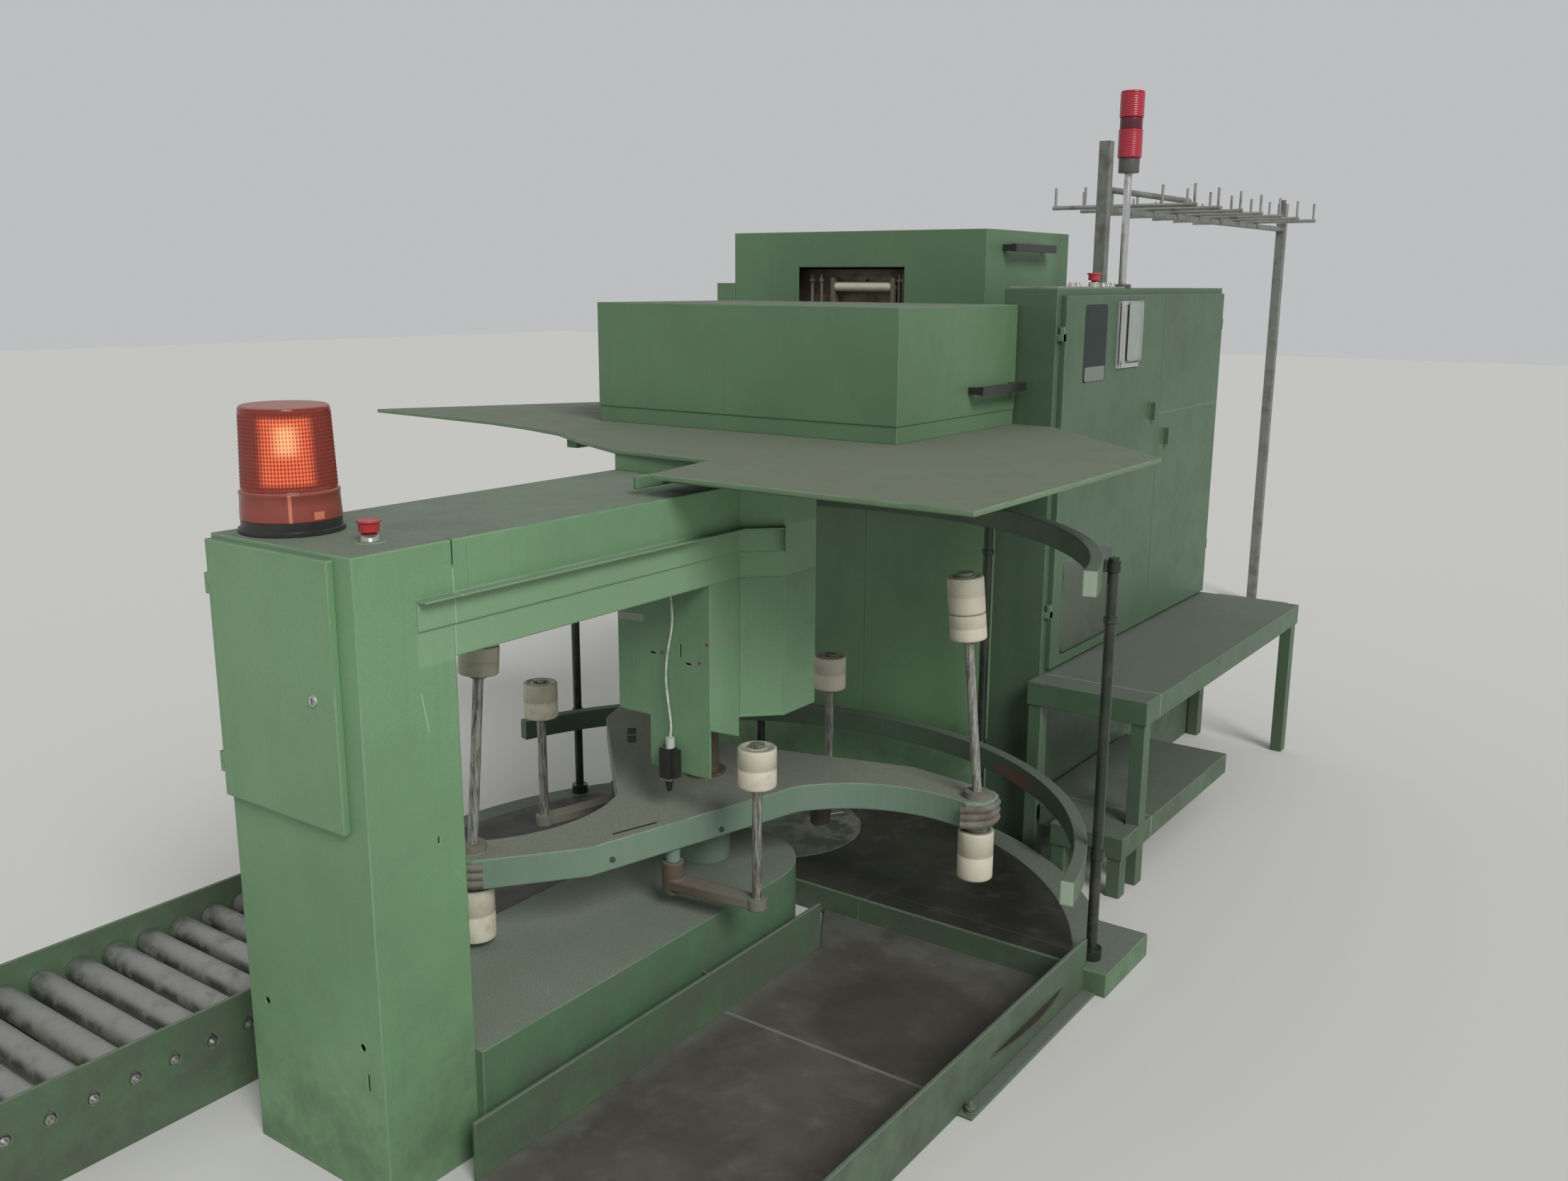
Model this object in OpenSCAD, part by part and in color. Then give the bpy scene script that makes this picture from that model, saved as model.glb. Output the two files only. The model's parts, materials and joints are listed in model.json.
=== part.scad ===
// Textile draw frame delivery end with a rotary can changer. Sizes in millimetres.
// Origin on the floor under the turnstile axis, +Z up. The beam runs along Y and its
// column stands at -Y. The operator side with the exit ramp is +X.

/* [Column and beam] */
// Width of the control column and beam
column_width = 380; // [340:10:420]
// Depth of the control column
column_depth = 204; // [180:4:240]
// Top of column and beam above the floor
beam_top = 1170; // [1150:5:1185]
// Height of the beam section
beam_height = 204; // [180:4:220]
// Distance from turnstile axis to the front of the column
column_reach = 1145; // [1145:5:1200]
// Sheet thickness of the painted covers
sheet = 3; // [2:0.5:4]

/* [Table] */
// Top of the coiler table above the floor
table_top = 1219; // [1205:1:1240]
// Thickness of the table sheet
table_sheet = 10; // [6:1:12]
// How far the table reaches towards the operator side
table_reach = 920; // [860:10:960]

/* [Turnstile] */
// Height of the top of the turnstile plate
plate_top = 430; // [410:5:450]
// Depth of the down-turned rim of the plate
plate_rim = 65; // [50:5:75]
// Distance from axis to the centre of a can pocket
pocket_radius = 600; // [590:5:620]
// Radius of the concave arm edge round a pocket
pocket_edge = 342; // [330:2:350]
// Distance from axis to an arm post
post_reach = 664; // [650:1:670]
// Inward lean of the arm posts in degrees
post_lean = 5; // [0:1:7]
// Diameter of the arm rollers
arm_roller = 84; // [70:2:100]
// Diameter of the lever rollers
lever_roller = 84; // [60:2:90]
// Diameter of the posts that carry rollers
post_diameter = 22; // [18:1:26]
// Diameter of the turnstile shaft
shaft_diameter = 70; // [60:2:76]
// Radial clearance of every running fit
running_fit = 0.05; // [0.03:0.01:0.08]

/* [Guard ring] */
// Outer radius of the guard rings
ring_radius = 920; // [910:5:930]
// Top of the upper ring
ring_high = 1008; // [970:2:1040]
// Top of the lower ring
ring_low = 330; // [300:5:400]
// Height of the ring section
ring_section = 56; // [40:5:70]
// Width of the ring section
ring_width = 30; // [25:5:40]

/* [Floor, ramp and track] */
// Level of the floor disc
disc_top = 60; // [50:2:70]
// Radius of the floor disc
disc_radius = 900; // [880:10:920]
// Clear width of the exit ramp
ramp_width = 592; // [560:4:610]
// Height of the ramp rails
ramp_rail = 125; // [100:5:150]
// Length of the ramp in front of the turnstile axis
ramp_length = 1545; // [1300:5:1800]
// Height of the feed track rails
track_rail = 201; // [180:3:240]
// Clear width of the feed track
track_width = 500; // [480:10:520]
// Length of the feed track
track_length = 1020; // [780:80:1260]
// Radius of a track roller
track_roller = 30; // [24:1:34]

/* [Covers and cabinet] */
// Height of the coiler cover above the table
coiler_cover = 323; // [280:1:340]
// Top of the drafting cover above the floor
cover_top = 1749; // [1700:1:1800]
// Top of the electrical cabinet above the floor
cabinet_top = 1585; // [1540:5:1640]
// Top of the step platform above the floor
step_top = 520; // [440:10:560]

/* [Signals] */
// Diameter of the rotating beacon's foot
beacon_diameter = 180; // [150:2:184]
// Height of the beacon's lens
beacon_lens_h = 198; // [160:2:210]
// Diameter of the stop buttons
stop_diameter = 42; // [36:1:48]

/* [Creel] */
// Height of the creel rail above the floor
creel_rail_z = 1870; // [1800:10:1950]
// Length of the creel behind the machine
creel_length = 2300; // [1500:100:2600]

/* [Hidden] */
$fn = 48;
e = 0.01;
cx0 = 20 - column_width/2;            // beam and column left face
cx1 = 20 + column_width/2;            // beam and column right face
cy0 = -column_reach;                  // column front face
cy1 = cy0 + column_depth;             // column rear face
bz0 = beam_top - beam_height;         // beam underside
tb = table_top - table_sheet;         // table underside
rim_z = plate_top - plate_rim;        // bottom of the rim
plate_t = 6;
rx0 = 578 - ramp_width/2;             // ramp inner faces
rx1 = 578 + ramp_width/2;
rail_t = 8;
tx1 = -597 + track_width/2;           // track inner faces
tx0 = -597 - track_width/2;
track_y1 = -690;
track_y0 = track_y1 - track_length;
base_r = 980;
disc_t = 4;
coil_a = 108;                         // angle of the coiling position
coil = [pocket_radius*cos(coil_a), pocket_radius*sin(coil_a)];
post_a = 21.5;                          // angle of the first arm post
lever_rest = [0, 7.5, -7.5];             // swing of each lever as it stands
low_pin = [128, -275];                // lever pivot in arm frame
low_tip = [348, -254];                // lever roller in arm frame
plinth_top = 215;
lev_z = 260;                          // foot of the lever pins
lr_z0 = 549;                           // lower face of the lever rollers
lr_z1 = 638;                          // top face of the lever rollers
body_y0 = 982;
body_y1 = 2300;
cab_x0 = 268;
cab_x1 = 424;
cab_y1 = 2315;
lb_x0 = -647; lb_x1 = 313; lb_y0 = 352; lb_y1 = 975;
ub_x0 = -764; ub_x1 = 134; ub_y0 = 1125; ub_y1 = 1680;
ub_z0 = 1532;
ub_hz = ub_z0 + 70;                   // drafting cover hinge height
post_top = bz0 - 1;                   // posts end just under the beam
top_z1 = bz0 - 9;                     // top face of the upper arm rollers
top_z0 = top_z1 - 85;                 // joint between upper and middle arm rollers
mid_z0 = top_z0 - 62;                 // lower face of the middle arm rollers
low_z1 = rim_z - 13;                  // top of the rollers under the plate
low_z0 = low_z1 - 119;
roller_gap = 0.5;
foot_r = 24;                          // foot of a guard post
post_rod_r = post_diameter/2;

module bx(a, b) { translate(a) cube(b - a); }
// Box with walls w = [x0, x1, y0, y1, z0, z1]; a wall of 0 leaves that side open.
module tub(a, b, w) {
  difference() {
    bx(a, b);
    bx([a[0] + (w[0] > 0 ? w[0] : -1), a[1] + (w[2] > 0 ? w[2] : -1), a[2] + (w[4] > 0 ? w[4] : -1)],
       [b[0] - (w[1] > 0 ? w[1] : -1), b[1] - (w[3] > 0 ? w[3] : -1), b[2] - (w[5] > 0 ? w[5] : -1)]);
  }
}
module cyl(p, r, h) { translate(p) cylinder(r = r, h = h); }
module arm(i) { rotate([0, 0, -120*(i - 1)]) children(); }
// Frame on an arm post: local z runs up the leaning post, zero at the plate's top.
module on_post(i) {
  arm(i) translate([post_reach*cos(post_a), post_reach*sin(post_a), plate_top])
    rotate([0, 0, post_a]) rotate([0, -post_lean, 0]) children();
}
module under_post(i) {
  arm(i) translate([post_reach*cos(post_a), post_reach*sin(post_a), 0]) children();
}
// Round bar between two points.
module bar(p, q, r, n = 48) {
  d = q - p;
  translate(p) rotate([0, acos(d[2]/norm(d)), atan2(d[1], d[0])]) cylinder(r = r, h = norm(d), $fn = n);
}
// Fixed half of a lift-off hinge: lower knuckle and pin, axis +Z, origin at knuckle joint.
module hinge_fixed() {
  cyl([0, 0, -18], 7, 18);
  cyl([0, 0, -1], 4, 18);
}
module hinge_moving() {
  difference() {
    cyl([0, 0, 0.2], 7, 18);
    cyl([0, 0, -1], 4 + running_fit, 18.5);
  }
}

/* Column and its door */
door_x0 = cx0 + 2;
door_x1 = cx0 + 335;
door_z0 = 695;
door_z1 = beam_top - 8;
hinge_c = [cx0 - 7, cy0 - 7];
module column() color([0.36, 0.56, 0.38]) {
  difference() {
    tub([cx0, cy0, 0], [cx1, cy1, beam_top], [sheet, sheet, sheet, sheet, 4, sheet]);
    bx([door_x0 + 25, cy0 - 1, door_z0 + 25], [door_x1 - 25, cy0 + sheet + 1, door_z1 - 25]);
    for (x = [cx0 + 52, cx0 + 327]) translate([x, cy0 - 1, 297]) rotate([-90, 0, 0]) cylinder(r = 7, h = sheet + 2);
    bx([cx0 + 334, cy0 - 1, 216], [cx0 + 340, cy0 + sheet + 1, 249]);
    bx([cx1 - sheet - 1, cy1 - 60, 640], [cx1 + 1, cy1 - 56, 652]);
    translate(sb) cyl([0, 0, -sheet - 4], 12 + running_fit, 20);
  }
  for (z = [door_z0 + 60, door_z1 - 80]) {
    translate([hinge_c[0], hinge_c[1], z]) hinge_fixed();
    bx([cx0 - 7, cy0 - 7, z - 18], [cx0, cy0 + 18, z]);
  }
  translate(sb) difference() {
    union() { cyl([0, 0, 0], 27, 1.5); cyl([0, 0, 0], 15, 13); }
    cyl([0, 0, -1], 12 + running_fit, 30);
  }
}
module column_door() color([0.36, 0.56, 0.38]) {
  difference() {
    union() {
      tub([door_x0, cy0 - 14, door_z0], [door_x1, cy0, door_z1], [2, 2, 2, 0, 2, 2]);
      bx([door_x0 + 14, cy0 - 12.5, door_z0 + 1], [door_x0 + 18, cy0 - 0.5, door_z1 - 1]);
    }
    translate([cx0 + 277, cy0 - 15, 920]) rotate([-90, 0, 0]) cylinder(r = 10, h = 5);
    for (z = [door_z0 + 60, door_z1 - 80])
      translate([hinge_c[0], hinge_c[1], z - 20]) cylinder(r = 7.6, h = 20.2);
  }
  translate([cx0 + 277, cy0 - 17, 920]) rotate([-90, 0, 0]) difference() {
    cylinder(r = 10, h = 7);
    translate([-6, -1.5, -1]) cube([12, 3, 4]);
  }
  for (z = [door_z0 + 60, door_z1 - 80]) {
    translate([hinge_c[0], hinge_c[1], z]) hinge_moving();
    difference() {
      bx([hinge_c[0], cy0 - 14, z + 0.2], [door_x0 + 1, cy0 - 10, z + 18.2]);
      cyl([hinge_c[0], hinge_c[1], z - 1], 4 + running_fit, 20);
    }
  }
}

/* Beam with its ledge */
beam_y1 = 60;
seam_y = -134;
cham = 71;
function beam_pts(o) = [[cx0 + o, cy1 + o], [cx1 - o, cy1 + o], [cx1 - o, seam_y - o*0.41],
  [cx1 + cham - o, seam_y + cham - o*0.41], [cx1 + cham - o, beam_y1 - o], [cx0 + o, beam_y1 - o]];
module beam() color([0.37, 0.57, 0.39]) {
  cyl([112, hy0 - 16, bz0 - 10], 9, 10);
  difference() {
    translate([0, 0, bz0]) linear_extrude(beam_height) polygon(beam_pts(0));
    translate([0, 0, bz0 + sheet]) linear_extrude(beam_height - 2*sheet) polygon(beam_pts(sheet));
    bx([cx1 - 0.6, cy1 + 34, bz0 + 60], [cx1 + 1, cy1 + 36, beam_top - 12]);
    translate([cx1, seam_y - 2, bz0 + 1]) cube([2, 1.2, beam_height - 2]);
  }
  lz = bz0 + 112;
  bx([cx1, cy1 - 80, lz - 3], [cx1 + 24, seam_y, lz]);
  bx([cx1, cy1 - 80, lz - 54], [cx1 + 3, seam_y, lz - 3]);
  translate([cx1, seam_y, 0]) rotate([0, 0, -45]) {
    bx([0, 0, lz - 3], [24, cham*1.4142, lz]);
    bx([0, 0, lz - 54], [3, cham*1.4142, lz - 3]);
    bx([0, cham*1.4142 - 3, lz - 54], [27, cham*1.4142, lz + 2]);
  }
}

/* Drive housing under the beam */
hz1 = 645;
hy0 = -239;
hx0 = cx1 - 265;
function house_pts(o) = [[hx0 + o, hy0 + o], [cx1 - o, hy0 + o], [cx1 - o, seam_y - o*0.41],
  [cx1 + cham - o, seam_y + cham - o*0.41], [cx1 + cham - o, beam_y1 - o], [hx0 + o, beam_y1 - o]];
module drive_housing() color([0.38, 0.58, 0.40]) {
  difference() {
    translate([0, 0, hz1]) linear_extrude(bz0 - hz1) polygon(house_pts(0));
    translate([0, 0, hz1 + 5]) linear_extrude(bz0 - hz1) polygon(house_pts(2.5));
    cyl([0, 0, hz1 - 1], shaft_diameter/2 + running_fit, 10);
    bx([hx0 + 95, hy0 - 1, 790], [hx0 + 110, hy0 + 4, 794]);
    bx([hx0 + 180, hy0 - 1, 794], [hx0 + 184, hy0 + 4, 822]);
    bx([hx0 + 196, hy0 - 1, 780], [hx0 + 212, hy0 + 4, 784]);
  }
  difference() {
    bx([hx0 + 92, hy0, 527], [cx1, hy0 + 2.5, hz1]);
    for (x = [0]) translate([hx0 + 92, hy0 - 1, 527]) rotate([0, 45, 0]) cube([22, 5, 22], center = true);
  }
  translate([cx1 - 2.5, 0, 0]) rotate([90, 0, 90]) linear_extrude(2.5)
    polygon([[hy0 + 2.5, hz1 + 1], [hy0 + 2.5, hz1 - 6], [seam_y - 2, 600], [seam_y - 2, hz1 + 1]]);
  difference() {
    cyl([0, 0, 612], shaft_diameter/2 + 9, hz1 - 612);
    cyl([0, 0, 611], shaft_diameter/2 + running_fit, hz1 - 610);
  }
}
sens = [110, hy0 - 16];
module sensor() color([0.08, 0.08, 0.09]) {
  bx([sens[0] - 24, sens[1] - 13, 512], [sens[0] + 6, sens[1] + 12, 586]);
  bx([sens[0] + 5, sens[1] - 9, 520], [sens[0] + 21, sens[1] + 9, 583]);
  translate([sens[0] - 6, sens[1], 484]) cylinder(r1 = 5, r2 = 11, h = 29);
  bx([sens[0] - 20, sens[1], 545], [sens[0] + 14, hy0, 575]);
  cyl([sens[0] - 2, sens[1], 586], 10, 24);
}
route = [[108, 610], [112, 640], [104, 690], [98, 745], [103, 800], [116, 860], [118, 900], [112, 956]];
cable_r = 2.5;
steps = 4;
function cr(a, b, c, d, t) = 0.5*((2*b) + (c - a)*t + (2*a - 5*b + 4*c - d)*t*t + (3*b - a - 3*c + d)*t*t*t);
function at(i) = route[max(0, min(len(route) - 1, i))];
path = concat([for (i = [0:len(route) - 2]) for (k = [0:steps - 1]) cr(at(i - 1), at(i), at(i + 1), at(i + 2), k/steps)],
  [route[len(route) - 1]]);
module sensor_cable() color([0.86, 0.88, 0.84]) {
  n = len(path);
  polyhedron(
    points = [for (p = path) for (k = [0:7]) [p[0] + cable_r*cos(45*k), sens[1] + cable_r*sin(45*k), p[1]]],
    faces = concat([[7, 6, 5, 4, 3, 2, 1, 0]], [[for (k = [0:7]) 8*(n - 1) + k]],
      [for (i = [0:n - 2]) for (k = [0:7]) [8*i + k, 8*i + (k + 1)%8, 8*(i + 1) + (k + 1)%8, 8*(i + 1) + k]]));
}

/* Turnstile: a three-armed plate with a turned-down rim */
pc = [(pocket_radius - 58)*cos(-14.3), (pocket_radius - 58)*sin(-14.3)];
tip = post_reach - 664;
function arm_pts() = concat(
  [for (k = [0:18]) let (a = 147 - 72*k/18) [pc[0] + pocket_edge*cos(a), pc[1] + pocket_edge*sin(a)]],
  [[632 + tip, 205], [650 + tip, 222], [657 + tip, 252], [651 + tip, 286], [632 + tip, 301], [392, 332]]);
function turned(p, a) = [p[0]*cos(a) - p[1]*sin(a), p[0]*sin(a) + p[1]*cos(a)];
function unit(v) = v/norm(v);
// The closed outline of all three arms, and the same line moved inwards by d.
star = [for (i = [0:2]) for (p = arm_pts()) turned(p, 120*i)];
function inset(pts, d) = let (n = len(pts)) [for (i = [0:n - 1])
  let (u = unit(pts[i] - pts[(i + n - 1)%n]), v = unit(pts[(i + 1)%n] - pts[i]), a = [-u[1], u[0]], b = [-v[1], v[0]])
  pts[i] + d*(a + b)/(1 + a*b)];
module turnstile() color([0.42, 0.62, 0.45]) {
  difference() {
    translate([0, 0, rim_z]) linear_extrude(plate_rim) polygon(star);
    translate([0, 0, rim_z - 1]) linear_extrude(plate_rim - plate_t + 1) polygon(inset(star, 4));
    translate([82, -421, 0]) rotate([0, 0, 72.5]) bx([0, -1.5, rim_z], [113, 1.5, plate_top + 1]);
  }
  cyl([0, 0, plate_top], shaft_diameter/2 + 17, 10);
  cyl([0, 0, plate_top + 10], shaft_diameter/2, hz1 + 20 - plate_top - 10);
  cyl([0, 0, plinth_top + 0.3], 62, plate_top - plate_t - plinth_top - 0.3);
  for (i = [1:3]) {
    on_post(i) {
      cyl([0, 0, -2], post_rod_r, post_top - plate_top + 2);
      cyl([0, 0, mid_z0 - plate_top - 8], post_rod_r + 6, 7.5);
      cyl([0, 0, top_z1 - plate_top], post_rod_r + 8, 8);
    }
    under_post(i) {
      cyl([0, 0, plate_top], 30, 16);
      cyl([0, 0, low_z1], 27, plate_top - plate_t - low_z1);
      cyl([0, 0, low_z0 - 1], post_rod_r, low_z1 - low_z0 + 1);
      cyl([0, 0, low_z0 - 9], post_rod_r + 8, 8.5);
    }
    arm(i) {
      cyl([low_pin[0], low_pin[1], lev_z + 70], 17, plate_top - plate_t - lev_z - 70);
      cyl([low_pin[0], low_pin[1], lev_z], 10, 70);
      cyl([low_pin[0], low_pin[1], lev_z - 8], 17, 8);
    }
  }
}
module roller(r, h, b) {
  difference() {
    union() {
      cyl([0, 0, 4], r, h - 8);
      cyl([0, 0, 0], r - 4, h);
    }
    cyl([0, 0, -1], b + running_fit, h + 2);
    difference() { cyl([0, 0, h - 3], r - 10, 4); cyl([0, 0, h - 4], b + 9, 6); }
  }
}
module arm_top(i) color([0.86, 0.83, 0.74]) on_post(i) translate([0, 0, top_z0 - plate_top]) roller(arm_roller/2, top_z1 - top_z0 - roller_gap, post_rod_r);
module arm_mid(i) color([0.86, 0.83, 0.74]) on_post(i) translate([0, 0, mid_z0 - plate_top]) roller(arm_roller/2, top_z0 - mid_z0 - roller_gap, post_rod_r);
module arm_low(i) color([0.86, 0.83, 0.74]) under_post(i) translate([0, 0, low_z0]) roller(arm_roller/2, low_z1 - low_z0 - roller_gap, post_rod_r);
module arm_roller_top_1() { arm_top(1); }
module arm_roller_top_2() { arm_top(2); }
module arm_roller_top_3() { arm_top(3); }
module arm_roller_mid_1() { arm_mid(1); }
module arm_roller_mid_2() { arm_mid(2); }
module arm_roller_mid_3() { arm_mid(3); }
module arm_roller_low_1() { arm_low(1); }
module arm_roller_low_2() { arm_low(2); }
module arm_roller_low_3() { arm_low(3); }
/* Swing levers under the plate */
module swung(i) { translate([low_pin[0], low_pin[1], 0]) rotate([0, 0, lever_rest[i - 1]]) translate([-low_pin[0], -low_pin[1], 0]) children(); }
module lever(i) color([0.47, 0.40, 0.35]) arm(i) swung(i) {
  d = low_tip - low_pin;
  difference() {
    union() {
      cyl([low_pin[0], low_pin[1], lev_z + 0.5], 25, 69);
      translate([low_pin[0], low_pin[1], lev_z + 8]) rotate([0, 0, atan2(d[1], d[0])])
        linear_extrude(22) polygon([[0, -25], [norm(d), -18], [norm(d), 18], [0, 25]]);
      cyl([low_tip[0], low_tip[1], lev_z + 7], 22, 24);
    }
    cyl([low_pin[0], low_pin[1], lev_z - 20], 10 + running_fit, 120);
  }
  cyl([low_tip[0], low_tip[1], lev_z + 20], post_rod_r, lr_z1 + 6 - lev_z - 20);
  cyl([low_tip[0], low_tip[1], lr_z0 - 8], post_rod_r + 6, 7.5);
  cyl([low_tip[0], low_tip[1], lr_z1 + 0.5], post_rod_r + 6, 5);
}
module lever_1() { lever(1); }
module lever_2() { lever(2); }
module lever_3() { lever(3); }
module lroller(i) color([0.86, 0.83, 0.74]) arm(i) swung(i) translate([low_tip[0], low_tip[1], lr_z0]) roller(lever_roller/2, lr_z1 - lr_z0, post_rod_r);
module lever_roller_1() { lroller(1); }
module lever_roller_2() { lroller(2); }
module lever_roller_3() { lroller(3); }

/* Plinth, floor disc and base */
module plinth_2d(o) {
  translate([cx0 + o, cy1 + o]) square([column_width + 20 - 2*o, -cy1 - o]);
  translate([(2*cx0 + column_width + 20)/2, 0]) circle(r = column_width/2 + 10 - o, $fn = 96);
}
module plinth() color([0.34, 0.53, 0.36]) {
  difference() {
    translate([0, 0, disc_top]) linear_extrude(plinth_top - disc_top) plinth_2d(0);
    translate([0, 0, disc_top - 1]) linear_extrude(plinth_top - disc_top - 3) plinth_2d(3);
  }
}
module rails_2d(g) {
  for (x = [rx0 - rail_t, rx1]) translate([x - g, -ramp_length]) square([rail_t + 2*g, ramp_length + (x < 578 ? 95 : 305)]);
}
module keep_out() {
  translate([cx0, cy0 - 1]) square([column_width, column_depth + 1]);
  for (x = [tx0 - 6, tx1]) translate([x, track_y0]) square([6, track_length]);
}
module base_plate() color([0.30, 0.42, 0.32]) linear_extrude(disc_top - disc_t) difference() {
  union() {
    circle(r = base_r, $fn = 180);
    translate([rx0, -ramp_length]) square([ramp_width, ramp_length]);
  }
  rails_2d(0);
  keep_out();
  translate(coil) circle(r = 20 + running_fit);
}
module floor_disc() color([0.16, 0.17, 0.16]) translate([0, 0, disc_top - disc_t]) linear_extrude(disc_t) difference() {
  circle(r = disc_radius, $fn = 180);
  rails_2d(0);
  keep_out();
  translate([rx0, -ramp_length]) square([ramp_width, ramp_length + 355]);
  translate(coil) circle(r = 241, $fn = 96);
}
module can_turntable() color([0.40, 0.41, 0.40]) translate([coil[0], coil[1], 0]) {
  cyl([0, 0, 20], 20, disc_top - disc_t + 0.2 - 20);
  difference() {
    translate([0, 0, disc_top - disc_t + 0.2]) cylinder(r = 240, h = 6, $fn = 96);
    for (a = [0:60:300]) rotate([0, 0, a]) bx([120, -6, disc_top], [215, 6, disc_top + 10]);
  }
}
/* Coiler under the table */
module coiler_housing() color([0.45, 0.46, 0.45]) translate([coil[0], coil[1], 0]) {
  difference() {
    translate([0, 0, tb - 36]) cylinder(r = 262, h = 36, $fn = 96);
    translate([0, 0, tb - 37]) cylinder(r = 240, h = 31, $fn = 96);
    cyl([0, 0, tb - 10], 30 + running_fit, 20);
  }
}
module coiler_plate() color([0.62, 0.63, 0.62]) translate([coil[0], coil[1], 0]) {
  difference() {
    union() {
      translate([0, 0, tb - 34]) cylinder(r = 238, h = 27, $fn = 96);
      cyl([0, 0, tb - 7.5], 30, 6);
    }
    translate([0, 0, tb - 35]) cylinder(r = 225, h = 10, $fn = 96);
    cyl([0, 0, tb - 40], 12, 60);
  }
}

/* Exit ramp and feed track */
module ramp_deck() color([0.30, 0.24, 0.20]) {
  difference() {
    bx([rx0, -ramp_length, disc_top - disc_t], [rx1, 355, disc_top]);
    bx([rx0 - 1, -311.5, disc_top - 2], [rx1 + 1, -308.5, disc_top + 1]);
    for (a = post_as) rotate([0, 0, a]) cyl([gr, 0, 0], foot_r + 0.3, ring_low);
  }
}
module ramp_rails() color([0.37, 0.57, 0.40]) {
  linear_extrude(ramp_rail) rails_2d(0);
  difference() {
    bx([rx0 - 121, 335, disc_top], [rx1 - 82, 355, disc_top + 18]);
    bx([rx0 - 120, 338, disc_top - 1], [rx1 - 83, 352, disc_top + 15]);
  }
  for (y = [-1100, -560]) {
    bar([rx1 + rail_t, y, 40], [rx1 + rail_t + 26, y, 40], 6);
    translate([rx1 + rail_t + 10, y, 40]) rotate([0, 90, 0]) cylinder(r = 15, h = 8, $fn = 6);
  }
  bx([rx0 - rail_t - 44, -300, disc_top], [rx0 - rail_t, -294, disc_top + 40]);
}
tr_n = floor((track_length - 60)/80);
axle_r = 9.5;
axle_z = 125;
// Pear-shaped hole that lets an axle drop in from the wide part: a circle with a pointed top.
module pear(r, l) rotate([90, 0, 90]) linear_extrude(l) {
  circle(r = r, $fn = 32);
  polygon([[-r*cos(35), r*sin(35)], [0, r/sin(35)], [r*cos(35), r*sin(35)]]);
}
module track_rails() color([0.33, 0.50, 0.36]) {
  difference() {
    for (x = [tx0 - 6, tx1]) bx([x, track_y0, 0], [x + 6, track_y1, track_rail]);
    for (i = [0:tr_n]) translate([tx0 - 10, track_y1 - 40 - 80*i, axle_z + 2.3]) pear(axle_r + 2.5, track_width + 20);
    translate([tx1 - 1, track_y1 - 60, 70]) rotate([0, 90, 0]) cylinder(r = 9, h = 8, $fn = 24);
  }
  for (y = [track_y0 + 60, track_y1 - 300]) bx([tx0, y, 0], [tx1, y + 40, 30]);
}
module track_rollers() color([0.55, 0.56, 0.55]) {
  for (i = [0:tr_n]) translate([tx0, track_y1 - 40 - 80*i, axle_z]) rotate([0, 90, 0]) {
    translate([0, 0, 3]) cylinder(r = track_roller, h = track_width - 6, $fn = 32);
    translate([0, 0, -5]) cylinder(r = axle_r, h = track_width + 10, $fn = 32);
    for (z = [-12, track_width + 4]) translate([0, 0, z]) cylinder(r = 5, h = 8, $fn = 6);
  }
}

/* Guard rings and posts round the can path */
module sector(a0, a1, r) {
  n = 8;
  polygon(concat([[0, 0]], [for (k = [0:n]) let (a = a0 + (a1 - a0)*k/n) [r*cos(a), r*sin(a)]]));
}
module ring_bar(z1, a0, a1) {
  translate([0, 0, z1 - ring_section]) linear_extrude(ring_section) intersection() {
    difference() { circle(r = ring_radius, $fn = 240); circle(r = ring_radius - ring_width, $fn = 240); }
    sector(a0, a1, 1400);
  }
}
post_as = [22, 72, 118, 153];
gr = ring_radius + 22;
module guard_rings() color([0.35, 0.52, 0.38]) {
  ring_bar(ring_high, 13, 165);
  ring_bar(ring_low, 9, 165);
}
module guard_posts() color([0.12, 0.14, 0.12]) {
  for (a = post_as) rotate([0, 0, a]) {
    cyl([gr, 0, disc_top - disc_t], 12.5, ring_high + 4 - disc_top + disc_t);
    cyl([gr, 0, disc_top - disc_t], foot_r, 26);
    for (z = [ring_high, ring_low]) {
      difference() {
        bx([ring_radius, -17, z - 26], [gr, 17, z - 4]);
        bx([gr - 14, -18, z - 40], [gr + 20, 18, z]);
      }
      cyl([gr, 0, z - 26], 17, 22);
    }
    cyl([gr, 0, ring_high - 142], 16, 12);
  }
}

/* Table */
module table_2d() {
  polygon([[180, -390], [table_reach, -405], [table_reach - 10, 505], [cab_x1, body_y0], [cab_x0, body_y0], [cab_x0, ub_y0], [-830, 1125],
    [-1000, 900], [-1406, 193], [-1140, 175], [-874, 153], [-700, 118], [-531, 67], [-350, -35], [-164, -122], [133, -134]]);
}
module table_sheet_top() color([0.40, 0.41, 0.33]) {
  difference() {
    translate([0, 0, tb]) linear_extrude(table_sheet) table_2d();
    translate([coil[0], coil[1], tb - 1]) cylinder(r = 70, h = table_sheet + 2);
  }
}
module table_frame() color([0.36, 0.56, 0.38]) {
  bx([-164, -118, beam_top], [cx1 - 85, beam_y1, tb]);
  for (x = [90, -540]) bx([x, x > 0 ? beam_y1 : 110, tb - 34], [x + 35, body_y0, tb]);
  bx([125, -380, tb - 26], [135, -120, tb]);
  bx([135, -300, tb - 20], [860, -270, tb]);
  bx([830, -270, tb - 20], [860, 470, tb]);
  bx([125, 440, tb - 20], [830, 470, tb]);
}

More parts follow.
